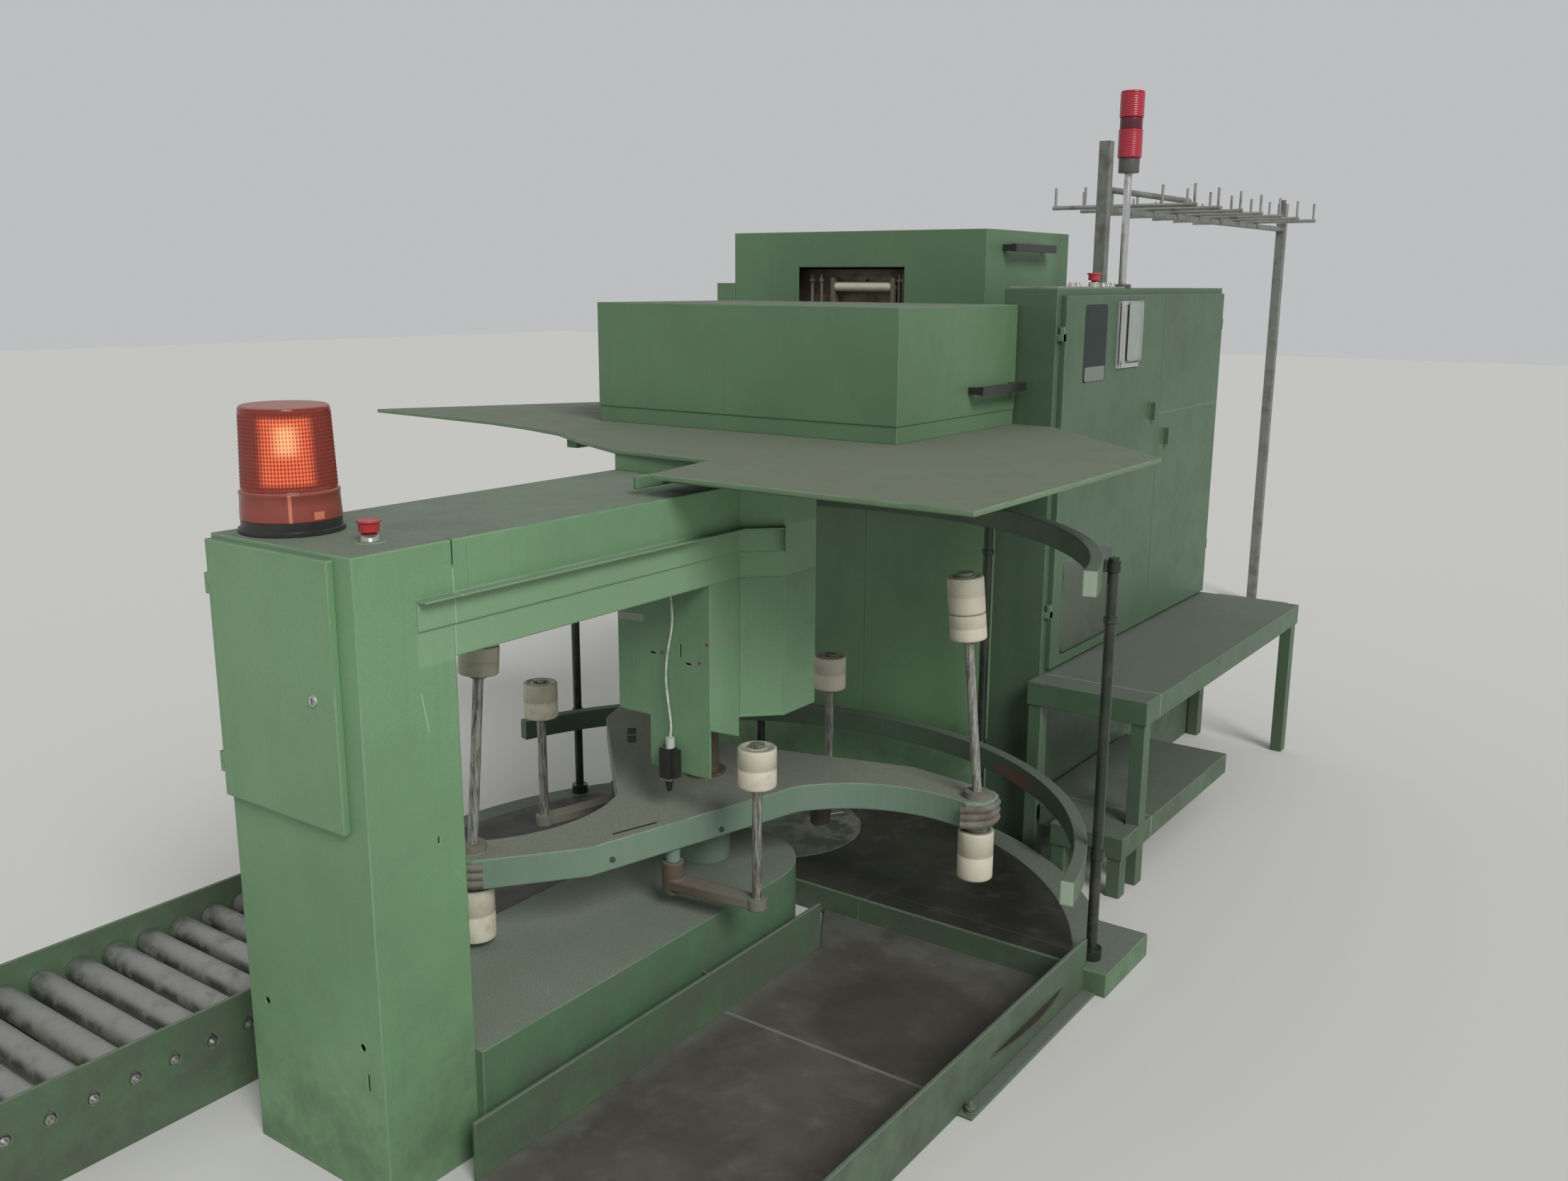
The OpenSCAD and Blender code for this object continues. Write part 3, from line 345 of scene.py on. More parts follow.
def enamel(name, base, dust=0.8, veil=0.22, grime=0.5, wear=0.75, shift=0.0, dust_colour=(0.140, 0.156, 0.128)):
    """Dusty paint: dust is how thick it lies on top, veil how much clings to the walls, grime the
    dirt near the floor, wear the pale folds, and shift moves the pattern."""
    f = Finish(name)
    height, facing = f.axis(f.place(), 2), f.facing_up()
    cloud = f.noise(1.6, 4.0, 0.6, shift=(shift, 0, 0))
    patch = f.noise(9.0, 5.0, 0.62, shift=(0, shift, 0))
    grain = f.noise(260.0, 3.0, 0.75)
    streak = f.noise(11.0, 4.0, 0.6, stretch=(3.0, 3.0, 0.16), shift=(shift, shift, 0))
    scuff = f.noise(19.0, 2.0, 0.4, stretch=(5.0, 5.0, 0.7), shift=(shift, 0, 1.0))
    edge, soft = f.edge(0.005)
    tone = f.mix(f.step(cloud, 0.30, 0.72), shade(base, 0.86), shade(base, 1.08))
    tone = f.mix(f.step(streak, 0.48, 0.80) * 0.16, tone, shade(base, 0.62))
    tone = f.mix(f.step(grain, 0.40, 0.66) * 0.22, tone, shade(base, 0.66))
    lying = f.step(facing, 0.30, 0.90)
    thick = (lying * (dust + (patch - 0.5) * 0.55 + (cloud - 0.5) * 0.4)).clear()
    thin = (f.step(patch, 0.42, 0.78) * veil * (0.4 + grain)).clear()
    worn = (edge * f.step(patch, 0.30, 0.55) * wear).clear()
    low = (1 - f.step(height, 0.02, 0.50)) * f.step(patch, 0.30, 0.72) * grime
    colour = f.mix(thin, tone, tuple(0.45 * c + 0.55 * d for c, d in zip(base, dust_colour)))
    colour = f.mix(low, colour, (0.060, 0.064, 0.045))
    colour = f.mix(f.step(scuff, 0.72, 0.76) * (1 - lying) * 0.16, colour, shade(base, 1.35, 0.03))
    powder = f.mix(f.step(grain, 0.38, 0.68), shade(dust_colour, 0.88), shade(dust_colour, 1.28))
    colour = f.mix(thick, colour, powder)
    colour = f.mix(worn, colour, shade(base, 1.35, 0.09))
    rough = (0.46 + thick * 0.45 + thin * 0.5 + low * 0.3 + (patch - 0.5) * 0.2).clear()
    return f.coat(colour, rough, f.bump(grain * 0.5 + thick * patch + streak * 0.15, 0.0011, 0.45, soft))


machine_green = enamel("machine_green", (0.160, 0.300, 0.152))
inner_green = enamel("covers_green", (0.118, 0.214, 0.112), shift=5.3)
housing_green = enamel("housing_green", (0.168, 0.305, 0.168), shift=3.7, veil=0.35)
# The cabinet's copy is painted darker as shade, in both its green and its dust, for the light that falls off towards
# the back.
painted_shade_cabinet = enamel("cabinet_enamel_painted_shade", (0.076, 0.134, 0.074), dust=0.7, veil=0.35, shift=8.1,
                     dust_colour=(0.118, 0.132, 0.108))
# The plinth's copy has darker walls, and its top dust is painted paler as light falling on it.
plinth_enamel_painted_lit_top = enamel("plinth_enamel_painted_lit_top", (0.100, 0.192, 0.104), veil=0.4, shift=5.3, dust_colour=(0.190, 0.208, 0.168))
# The body's copy is painted lighter than the covers' green, as light on the wall that the table shades.
body_enamel_painted_light = enamel("body_enamel_painted_light", (0.178, 0.318, 0.166), shift=5.3)
paint_nodes("column column_door beam", machine_green)
paint_nodes("base_plate table_frame cover_frame coiler_cover_box drafting_stand drafting_cover", inner_green)
paint_nodes("plinth", plinth_enamel_painted_lit_top)
paint_nodes("machine_body", body_enamel_painted_light)
paint_nodes("drive_housing", housing_green)
paint_nodes("cabinet cabinet_door_front cabinet_door_rear step_platform", painted_shade_cabinet)

# Base plate. Its corner on the operator side is square: a straight front face beside the ramp's
# rail and a straight side that runs back past the guard post's foot. The ramp's bed is sunk in it,
# and between the plinth and the inner rail it and the disc are open to the floor.
def prism(name, outline, z0, z1):
    """Upright solid over an outline of x, y points that runs counter-clockwise seen from above."""
    n = len(outline)
    ends = [list(range(n))[::-1], list(range(n, 2 * n))]
    walls = [[k, (k + 1) % n, (k + 1) % n + n, k + n] for k in range(n)]
    return mesh_of(name, [[x, y, z] for z in (z0, z1) for x, y in outline], ends + walls, False)


def block(name, low, high):
    """Box between two corners."""
    return prism(name, [low[:2], (high[0], low[1]), high[:2], (low[0], high[1])], low[2], high[2])


def carved(node, name, changes):
    """Copy of a CAD node's mesh after solid cuts and joins; each change is an operation and a
    closed mesh, which is used up."""
    piece = bpy.data.objects.new(name, parts[node].data.copy())
    piece.matrix_world = parts[node].matrix_world
    bpy.context.scene.collection.objects.link(piece)
    for operation, tool in changes:
        change = piece.modifiers.new(operation, "BOOLEAN")
        change.operation, change.object, change.solver = operation, tool, "EXACT"
        bpy.context.view_layer.update()
        piece.data = bpy.data.meshes.new_from_object(piece.evaluated_get(bpy.context.evaluated_depsgraph_get()))
        piece.modifiers.clear()
        bpy.data.objects.remove(tool)
    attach(piece, "frame_body")
    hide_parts(node)
    return piece


bar_y, bar_back, bed_z = 0.2716, 0.2798, 0.0078
hub_x, hub_radius, gap_x, gap_front = 0.030, 0.2006, 0.2825, -0.980
hub_arc = [(hub_x + hub_radius * math.cos(a), hub_radius * math.sin(a))
           for a in np.radians(np.arange(87, -1, -3)).tolist()]
gap_outline = [(gap_x, gap_front), (gap_x, bar_back), (0.0405, bar_back)] + hub_arc + [(0.2306, gap_front)]
base = carved("base_plate", "base_plate_square", (
    ("DIFFERENCE", block("bed", (0.2780, -1.60, bed_z), (0.8780, bar_back, 0.08))),
    ("DIFFERENCE", prism("gap", gap_outline, -0.02, 0.08)),
    ("DIFFERENCE", block("cutter", (0.878, -0.990, -0.02), (1.000, 0.290, 0.08))),
    ("UNION", block("corner", (0.750, 0.290, 0.0), (0.938, 0.545, 0.056)))))
paint(base, inner_green)

# Lower tread. The lower step's folded sheet goes on under the upper step, round its front legs,
# and ends where the photograph shows its inner rear corner.
tread_front, tread_rear, leg_back, tread_left, tread_right = 0.9055, 1.640, 0.953, 0.436, 0.766
lower_tread = prism("lower_tread", [
    (0.4785, tread_front), (0.722, tread_front), (0.722, leg_back), (tread_right, leg_back), (tread_right, tread_rear),
    (tread_left, tread_rear), (tread_left, leg_back), (0.4785, leg_back)], 0.110, 0.170)
# The tread takes the cabinet's darker copy, which is painted shade.
paint(lower_tread, painted_shade_cabinet)
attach(lower_tread, "frame_body")

# Dust has smudged round three screw holes in the housing's front; the holes themselves are painted
# dark as the shade inside them.
screws = [housing_green.off_axis((x, 0, z), (0, 1, 0)) for x, z in ((0.074, 0.797), (0.180, 0.789), (0.200, 0.833))]
screws = least(screws)
housing_green.over((1 - housing_green.step(screws, 0.006, 0.020)) * 0.6, (0.20, 0.25, 0.18), 0.8)
housing_green.over((1 - housing_green.step(screws, 0.0030, 0.0038)) * 0.8, (0.02, 0.025, 0.018), 0.8)

# The column's sheet meets the beam's in one upright joint: a dark gap above the ledge and a rubbed
# bright edge below it; beside it the paint is washed pale and has one slanting scratch. The cabinet
# has a pale fold along its side and a pale edge at its front.
x, y, z = machine_green.xyz()
side = machine_green.step(x, 0.195, 0.2)
joint = machine_green.inside(y, -0.9408, -0.9384, 0.0006) * side
machine_green.over(joint * machine_green.step(z, 1.124, 1.128), (0.020, 0.030, 0.016), 0.8)
machine_green.over(joint * (1 - machine_green.step(z, 1.118, 1.122)) * 0.8, (0.34, 0.48, 0.32), 0.5)
wash = machine_green.inside(z, 0.966, 1.075, 0.010) * side * machine_green.step(y, -1.024, -1.021)
machine_green.over(wash * 0.35, (0.27, 0.42, 0.26), 0.5)
scratch = machine_green.inside(y + 0.174 * z, -0.8610, -0.8596, 0.0006) * machine_green.inside(z, 0.847, 0.916, 0.004)
machine_green.over(scratch * side * 0.8, (0.38, 0.52, 0.36), 0.5)
x, y, z = painted_shade_cabinet.xyz()
outside = painted_shade_cabinet.step(x, 0.434, 0.438)
fold = painted_shade_cabinet.inside(z, 1.2010, 1.2030, 0.0008) * painted_shade_cabinet.inside(y, 1.742, 2.31)
painted_shade_cabinet.over(fold * outside * 0.6, (0.24, 0.33, 0.23), 0.5)
painted_shade_cabinet.over(painted_shade_cabinet.inside(y, 1.0040, 1.0058, 0.0008) * outside * 0.8, (0.40, 0.48, 0.36), 0.4)

# Coiler table. One large folded steel sheet that reaches out over the can path; its upper side
# is brown-green under settled dust and its bare edge shows as a thin light line.
table_paint = enamel("table_enamel", (0.140, 0.225, 0.125), dust=0.78, veil=0.4, wear=1.0, shift=5.0,
                     dust_colour=(0.136, 0.146, 0.108))
paint_nodes("table_sheet_top", table_paint)

# Guard rings and feed track. Flat bar and angle, rolled and welded, in darker and dirtier enamel. A
# patch of red primer shows on the lower ring, and the sawn ends of both rings are bare and pale.
rail_paint = enamel("rail_enamel", (0.088, 0.150, 0.084), dust=0.65, veil=0.5, grime=0.7, shift=2.2)
ring_x, ring_y, ring_z = rail_paint.xyz()
ring_turn = ring_y.math("ARCTAN2", ring_x)
primer = rail_paint.inside(ring_turn, 0.95, 1.10, 0.02) * rail_paint.inside(ring_z, 0.278, 0.305, 0.006)
rail_paint.over(primer * rail_paint.step(rail_paint.noise(28.0, 4.0), 0.36, 0.52), (0.215, 0.090, 0.066), 0.8)
low_end, high_end = (rail_paint.inside(ring_turn, math.radians(a), math.radians(b), 0.0004)
                     * rail_paint.inside(ring_z, z0, z1)
                     for a, b, z0, z1 in ((8.97, 9.03, 0.27, 0.335), (12.97, 13.03, 0.95, 1.02)))
rail_paint.over((low_end + high_end).clear() * rail_paint.step(ring_x, 0.5, 0.51), (0.33, 0.42, 0.31), 0.6)
paint_nodes("guard_rings track_rails", rail_paint)

# Ramp rails. The inner rail stops beside the column with its top corner cut off; the outer rail
# stands in a floor flange that one anchor bolt holds at its near end.
rail_corner = [[x, y, z] for x in (0.26, 0.30) for y, z in ((-1.013, 0.109), (-0.995, 0.127), (-1.013, 0.127))]
wedge_faces = [[0, 1, 2], [5, 4, 3], [0, 3, 4, 1], [1, 4, 5, 2], [2, 5, 3, 0]]
rails = carved("ramp_rails", "ramp_rails_trimmed", (
    ("DIFFERENCE", block("near_end", (0.20, -1.60, -0.02), (0.40, -1.012, 0.16))),
    ("DIFFERENCE", mesh_of("corner", rail_corner, wedge_faces, False)),
    ("DIFFERENCE", block("bar", (0.05, 0.33, 0.055), (0.80, 0.36, 0.09))),
    ("DIFFERENCE", block("studs", (0.8822, -1.20, 0.005), (0.95, -0.50, 0.09)))))
flange = block("rail_flange", (0.8821, -0.312, 0.0), (0.914, 0.289, 0.005))
bolt_place = shift(0.899, -0.291, 0.0)
bolt_profile = np.array([[0.5, 5], [13, 5], [13, 7], [4.5, 7], [4.5, 24], [3.5, 26], [0.5, 26]]) / 1000
nut_profile = np.array([[4.4, 7], [10.5, 7], [11, 7.6], [11, 15.4], [10.5, 16], [4.4, 16]]) / 1000
bolt = turned_piece("flange_bolt", bolt_profile, bolt_place, 20)
nut = turned_piece("flange_nut", nut_profile, bolt_place, 6)
bar = block("cross_bar", (0.2827, bar_y, bed_z + 0.0001), (0.8737, bar_back - 0.0001, 0.070))
bar_end = block("cross_bar_end", (0.0407, bar_y, 0.0), (0.2823, bar_back - 0.0001, 0.070))
for piece in (rails, flange, bolt, nut, bar, bar_end):
    paint(piece, rail_paint)
for piece in (flange, bolt, nut, bar, bar_end):
    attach(piece, "frame_body")


def metal(name, base, rough, dirt, shine=1.0):
    f = Finish(name)
    patch, brushed = f.noise(14.0, 5.0, 0.65), f.noise(90.0, 3.0, 0.6, stretch=(1, 1, 0.12))
    edge, soft = f.edge(0.002)
    foul = f.step(patch, 0.42, 0.75)
    return f.coat(f.mix(foul, base, dirt), (rough + foul * 0.4 + brushed * 0.15).clear(),
                  f.bump(brushed * 0.5 + patch, 0.0005, 0.5, soft), ((1 - foul * 0.8) * shine).clear())


# Turnstile. Three bowed arms of folded sheet under a film of cotton dust, which the cans have
# rubbed off the rim; the dust's colour is painted paler as light on the tops. The posts are streaky
# galvanised bar, held at each tip by a stack of dirty collars, and the upright shaft rises out of a
# rusty flange.
def zinc(f, mask, rusty=0.0):
    """Galvanised bar where mask is 1: pale and dull, with dirt in streaks along its length."""
    run = f.noise(60.0, 4.0, 0.7, stretch=(4.0, 4.0, 0.35))
    tint = f.mix(f.step(run, 0.42, 0.66), (0.40, 0.41, 0.36), (0.13, 0.125, 0.10))
    if rusty:
        tint = f.mix(f.step(run, 0.35, 0.6) * rusty, tint, (0.075, 0.048, 0.030))
    return f.over(mask, tint, 0.42, 0.55)


# Its dust colour is partly painted light: paler than the dust elsewhere, for the light on the arms' tops.
star = enamel("turnstile_enamel", (0.180, 0.268, 0.190), dust=0.95, veil=0.5, grime=0.0, wear=0.9, shift=6.6,
              dust_colour=(0.198, 0.208, 0.162))
arms, arm_step, plate_top = (1, 2, 3), 120, 0.430
post_reach, post_angle, post_lean = 0.664, 21.5, 5
arm_posts = []
for arm in arms:
    angle, lean = math.radians(post_angle - arm_step * (arm - 1)), math.radians(post_lean)
    foot = (post_reach * math.cos(angle), post_reach * math.sin(angle), plate_top)
    rise = (-math.sin(lean) * math.cos(angle), -math.sin(lean) * math.sin(angle), math.cos(lean))
    arm_posts.append((star.off_axis(foot, rise), star.off_axis(foot)))
tx, ty, t_up = star.xyz()
t_leaning, t_under = (least(gaps) for gaps in zip(*arm_posts))
t_post = (1 - star.step(t_leaning, 0.0115, 0.0125)) * star.step(t_up, 0.446, 0.448)
t_top = star.step(t_up, 0.4302, 0.4306)
t_collar = (1 - star.step(t_under, 0.0305, 0.0315)) * (t_top + 1 - star.step(t_up, 0.3640, 0.3648)).clear()
t_shaft = 1 - star.step(star.off_axis((0, 0, 0)), 0.0525, 0.0530)
collar_dirt = star.mix(star.noise(70.0), (0.10, 0.085, 0.062), (0.24, 0.225, 0.18))
star.over(t_collar, collar_dirt, 0.8)
zinc(star, t_post)
shaft_rust = star.mix(star.noise(55.0), (0.055, 0.042, 0.028), (0.17, 0.14, 0.10))
star.over(t_shaft * t_top, shaft_rust, 0.75, 0.1)


# A sawn slit and a slot in the plate, and two small holes in the first arm's rim, are painted dark
# as the shade inside them.
def cut(corner, angle, length, width):
    """1 on a length by width rectangle of the plate's top; its long side starts at corner."""
    c, s = math.cos(math.radians(angle)), math.sin(math.radians(angle))
    along = tx * c + ty * s - (corner[0] * c + corner[1] * s)
    across = ty * c - tx * s - (corner[1] * c - corner[0] * s)
    return star.inside(along, 0.0, length) * star.inside(across, -width / 2, width / 2)


slit = cut((0.082, -0.421), 72.5, 0.113, 0.0064)
long_slot = cut((-0.368, 0.148), -48.4, 0.120, 0.022) * (1 - cut((-0.332, 0.108), -48.4, 0.008, 0.022))
holes = least([star.off_axis((0.127, -0.471, 0.400), (-0.6464, 0.6941, -0.4148)),
               star.off_axis((0.212, -0.204, 0.400), (-0.5902, 0.7523, -0.3969))])
holes = (1 - star.step(holes, 0.006, 0.008)) * (1 - star.step(t_up, 0.42, 0.425)) * 0.8
star.over((slit + long_slot * 0.85 + holes).clear(), (0.014, 0.016, 0.011), 0.9)
paint_nodes("turnstile", star)

# Tip clamps. A thin steel band with three rolled beads is bent round each arm's tip, under the foot
# of the leaning post.
tip_line = np.array([[604, 186], [619, 194], [632, 205], [642, 212], [650, 222], [655, 236], [657, 252], [655.5, 270],
                     [651, 286], [643, 295], [632, 301], [612, 307]]) / 1000
bead = np.linspace(0, 3, 31)


def clamp_rings():
    """Beaded strip carried along the tip's outline: it stands 2 mm off the line and the beads add
    4.5 mm |sin(pi t)| over three beads, from 62 mm to 8 mm below the plate's top."""
    d = np.gradient(tip_line, axis=0)
    out = np.column_stack([d[:, 1], -d[:, 0]]) / np.linalg.norm(d, axis=1)[:, None]
    thick = np.concatenate([0.002 + 0.0045 * np.abs(np.sin(np.pi * bead)), np.full(2, 0.0003)])
    up = np.concatenate([0.368 + 0.054 * bead / 3, [0.422, 0.368]])
    flat = tip_line[:, None] + thick[None, :, None] * out[:, None]
    return np.concatenate([flat, np.broadcast_to(up[None, :, None], (len(tip_line), len(up), 1))], -1)


clamp_metal = metal("clamp_metal", (0.21, 0.195, 0.155), 0.7, (0.105, 0.088, 0.066), 0.15)
for arm in arms:
    spin = turn(-arm_step * (arm - 1))[:3, :3]
    clamp = skin(f"arm_clamp_{arm}", clamp_rings() @ spin.T, False)
    paint(clamp, clamp_metal)
    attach(clamp, "turnstile_body")


# Roller covers. Each arm post carries two cream plastic rollers one above the other and a third
# under the plate; each swing lever carries one. They are turned, with rounded rims and a dished
# top round the post, and dirt has settled at both ends.
def roller_profile(radius, height, bore):
    """Closed outline of half a roller: out along the foot, up the side with 5 mm rounded rims and a
    0.8 mm groove halfway, over an 11 mm wide rim into a dish 3 mm deep, up a 9 mm wide boss and
    down the bore."""
    q = np.linspace(0, np.pi / 2, 7)
    rim = 0.005
    foot = np.column_stack([radius - rim + rim * np.sin(q), rim - rim * np.cos(q)])
    head = np.column_stack([radius - rim + rim * np.cos(q), height - rim + rim * np.sin(q)])
    dish = np.array([[radius - 0.011, height], [radius - 0.012, height - 0.003], [bore + 0.010, height - 0.003],
                     [bore + 0.009, height - 0.0005], [bore, height - 0.0005], [bore, 0.0]])
    middle, notch = height * 0.5, 0.0008
    groove = np.array([[radius, middle - notch], [radius - notch, middle], [radius, middle + notch]])
    return np.vstack([foot, groove, head, dish])


cream = Finish("cream_roller_cover")
cream_patch = cream.noise(22.0, 5.0, 0.65)
cream_fine = cream.noise(160.0, 3.0, 0.6)
cream_edge, cream_soft = cream.edge(0.006)
cream_dirt = cream_edge * 0.8 + cream.step(cream_patch, 0.5, 0.8) * 0.55 + cream.step(cream_fine, 0.6, 0.8) * 0.25
cream_dirt = cream_dirt.clear()
cream_top = cream.step(cream.facing_up(), 0.6, 0.95)
cream_colour = cream.mix(cream_dirt, (0.60, 0.56, 0.44), (0.27, 0.245, 0.185))
cream_colour = cream.mix(cream_top * 0.65, cream_colour, (0.24, 0.235, 0.195))
cream.set(Base_Color=cream_colour, Roughness=(0.5 + cream_dirt * 0.4).clear(),
          Normal=cream.bump(cream_fine * 0.4 + cream_patch * 0.6, 0.0006, 0.6, cream_soft))
post_bore, roller_radius = 0.01105, 0.042
lever_pin, lever_tip, lever_swing = (0.128, -0.275), (0.348, -0.254), (0.0, 7.5, -7.5)


def lever_axis(arm):
    """Matrix of a lever's post: its arm's third of a turn, then the lever's own swing on its pin."""
    return (turn(-arm_step * (arm - 1)) @ shift(*lever_pin, 0) @ turn(lever_swing[arm - 1])
            @ shift(lever_tip[0] - lever_pin[0], lever_tip[1] - lever_pin[1], 0))


for arm in arms:
    angle = post_angle - arm_step * (arm - 1)
    foot = (post_reach * math.cos(math.radians(angle)), post_reach * math.sin(math.radians(angle)))
    leaning = shift(*foot, plate_top) @ turn(angle) @ turn(0, -post_lean)
    for name, place, height in (
            (f"arm_roller_top_{arm}", leaning @ shift(0, 0, 0.442), 0.0845),
            (f"arm_roller_mid_{arm}", leaning @ shift(0, 0, 0.380), 0.0615),
            (f"arm_roller_low_{arm}", shift(*foot, 0.233), 0.1185),
            (f"lever_roller_{arm}", lever_axis(arm) @ shift(0, 0, 0.549), 0.089)):
        piece = turned_piece(name + "_cover", roller_profile(roller_radius, height, post_bore), place)
        paint(piece, cream)
        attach(piece, name + "_body")
        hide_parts(name)


# Ramp deck and floor disc. The can slides off the dark floor disc onto a worn brown floor plate that
# lies lower, behind the cross bar; pale lint lies along the rails and in the joint across the deck,
# and one round can has left a stain.
def worn_plate(name, base, stain, polish):
    f = Finish(name)
    cloud, patch, grain = f.noise(2.4, 5.0, 0.65), f.noise(13.0, 5.0, 0.65), f.noise(150.0, 3.0, 0.7)
    swirl = f.noise(3.0, 6.0, 0.7, shift=(4, 1, 0))
    edge, soft = f.edge(0.003)
    colour = f.mix(f.step(cloud, 0.35, 0.68), stain, base)
    colour = f.mix(f.step(patch, 0.5, 0.8) * 0.5, colour, shade(base, 1.5, 0.01))
    colour = f.mix((f.step(swirl, 0.56, 0.62) * (1 - f.step(swirl, 0.62, 0.70)) * 0.5).clear(), colour, stain)
    f.base = f.mix(edge * 0.6, colour, (0.23, 0.24, 0.19))
    return f.set(Base_Color=f.base, Roughness=(polish + f.step(patch, 0.4, 0.8) * 0.3 + grain * 0.1).clear(),
                 Normal=f.bump(grain * 0.4 + patch * 0.6, 0.0008, 0.6, soft))


deck_brown = worn_plate("deck_brown", (0.110, 0.098, 0.083), (0.068, 0.060, 0.049), 0.55)
deck_x, deck_y = deck_brown.xyz()[:2]
deck_middle = 0.578
off_middle = (deck_x - deck_middle).math("ABSOLUTE")
lint = (deck_brown.step(off_middle, 0.235, 0.290) + deck_brown.step(deck_y, 0.11, 0.25)).clear()
lint = lint * deck_brown.step(deck_brown.noise(7.0, 4.0, 0.6), 0.30, 0.60)
stain = 1 - deck_brown.step(deck_brown.off_axis((0.62, -0.08, 0)) + deck_brown.noise(9.0) * 0.06, 0.20, 0.27)
deck_colour = deck_brown.mix(stain * 0.6, deck_brown.base, (0.040, 0.034, 0.028))
deck_colour = deck_brown.mix(lint * 0.65, deck_colour, (0.128, 0.146, 0.114))
deck_joint = deck_brown.inside(deck_y, -0.2895, -0.2825, 0.0015) * 0.8
deck_colour = deck_brown.mix(deck_joint, deck_colour, (0.230, 0.240, 0.190))
deck_brown.set(Base_Color=deck_colour)
disc_dark = worn_plate("disc_dark", (0.046, 0.045, 0.036), (0.028, 0.027, 0.021), 0.5)
far_end = block("far_end", (0.20, bar_y - 0.0242, 0.0), (1.00, 0.50, 0.10))
deck = carved("ramp_deck", "ramp_deck_low", (("DIFFERENCE", far_end),))
deck.data.transform(Matrix.Translation((0, 0.024, bed_z + 0.0001 - 0.056)))
deck_corner = prism("deck_corner", [(0.2821, 0.096), (0.2821, 0.2714), (0.176, 0.2714)], 0.0, bed_z + 0.0041)
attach(deck_corner, "frame_body")
for piece in (deck, deck_corner):
    paint(piece, deck_brown)
disc_edge = block("disc_edge", (0.2823, bar_back, 0.0561), (0.8737, 0.3548, 0.0600))
paint(disc_edge, disc_dark)
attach(disc_edge, "frame_body")
disc = carved("floor_disc", "floor_disc_open", (("DIFFERENCE", prism("gap", gap_outline, -0.02, 0.08)),))
paint(disc, disc_dark)


# Plain metal parts. Dull steel on the turntable, coiler plate, track rollers and creel guides; grey
# paint on the coiler housing and creel; brown oil on the web guide; dark paint on the guard posts.
bare_metal = metal("dull_steel", (0.42, 0.42, 0.40), 0.38, (0.16, 0.15, 0.12))
grey_metal = metal("grey_paint", (0.20, 0.21, 0.19), 0.5, (0.11, 0.10, 0.08), 0.2)
post_metal = metal("dark_post_paint", (0.020, 0.030, 0.020), 0.14, (0.052, 0.050, 0.038), 0.1)
paint_nodes("can_turntable coiler_plate track_rollers creel_guides", bare_metal)
paint_nodes("coiler_housing creel_frame", grey_metal)
oily_metal = metal("oily_brown", (0.165, 0.140, 0.098), 0.45, (0.075, 0.056, 0.036), 0.2)
paint_nodes("web_guide", oily_metal)
paint_nodes("guard_posts", post_metal)

# Swing levers. Cast arms in reddish-brown primer, rusty at the pin and dusty at the tip, each with
# a galvanised post.
lever_paint = enamel("lever_primer", (0.105, 0.078, 0.054), dust=0.6, veil=0.4, grime=0.0, wear=0.5, shift=1.1,
                     dust_colour=(0.175, 0.160, 0.128))
tip_gap = least([lever_paint.off_axis(tuple(lever_axis(arm)[:3, 3].tolist())) for arm in arms])
lever_up = lever_paint.axis(lever_paint.place(), 2)
lever_paint.over((1 - lever_paint.step(tip_gap, 0.02, 0.17)) * 0.75, (0.185, 0.185, 0.145), 0.85)
zinc(lever_paint, (1 - lever_paint.step(tip_gap, 0.0180, 0.0190)) * lever_paint.step(lever_up, 0.2915, 0.2925), 0.35)
paint_nodes("lever_1 lever_2 lever_3", lever_paint)


# Plastics and panel. Moulded black, red and grey under a thin film of dust on what faces up; the
# control panel is a dull plate whose top is polished and painted bright as a highlight, and the
# delivery roller is cream.
def plastic(name, base, rough, dust=0.25):
    f = Finish(name)
    patch, grain = f.noise(18.0, 4.0, 0.6), f.noise(230.0, 3.0, 0.6)
    edge, soft = f.edge(0.002)
    up = f.step(f.facing_up(), 0.4, 0.95)
    film = ((up * 1.6 + 0.35) * f.step(patch, 0.3, 0.75) * dust).clear()
    colour = f.mix(film, base, (0.16, 0.155, 0.13))
    return f.coat(colour, (rough + film * 0.5).clear(), f.bump(grain, 0.0003, 0.5, soft))


black_plastic = plastic("black_plastic", (0.018, 0.018, 0.017), 0.35)
black_up = black_plastic.axis(black_plastic.place(), 2)
black_rough = black_plastic.inside(black_up, 0.5868, 0.612) + black_plastic.inside(black_up, 0.509, 0.5145) * 0.35
black_plastic.over(black_rough, (0.50, 0.53, 0.46), 0.5)
paint_nodes("coiler_cover_handle drafting_cover_handle sensor beacon_base", black_plastic)
red_plastic = plastic("red_plastic", (0.52, 0.030, 0.040), 0.3)
panel_metal = metal("panel_plate", (0.30, 0.31, 0.26), 0.42, (0.17, 0.17, 0.14), 0.3)
panel_up = panel_metal.axis(panel_metal.place(), 2)
# Painted highlight: the panel's top is painted pale, on a polished finish.
panel_metal.over(panel_metal.step(panel_up, 1.5902, 1.5906), (0.66, 0.66, 0.62), 0.2, 0.9)
paint_nodes("control_panel", panel_metal)
window_grey = plastic("window_grey", (0.36, 0.38, 0.37), 0.2, 0.5)
paint_nodes("cabinet_window", window_grey)
paint_nodes("delivery_roller", cream)

# Beacon lens. Moulded clear orange plastic: a straight skirt over the black foot, a raised ring, and
# a slightly tapered drum with fine upright ribs crossed by level ones, closed by a dusty dished top.
# The drum carries a glowing patch of painted reflection and streaks of painted light and shade along
# its ribs, and the skirt carries painted highlights.
beam_top = 1.170
beacon_foot = (-0.086, -1.040, beam_top)
rib_count, rib_pitch = 88, 6.6


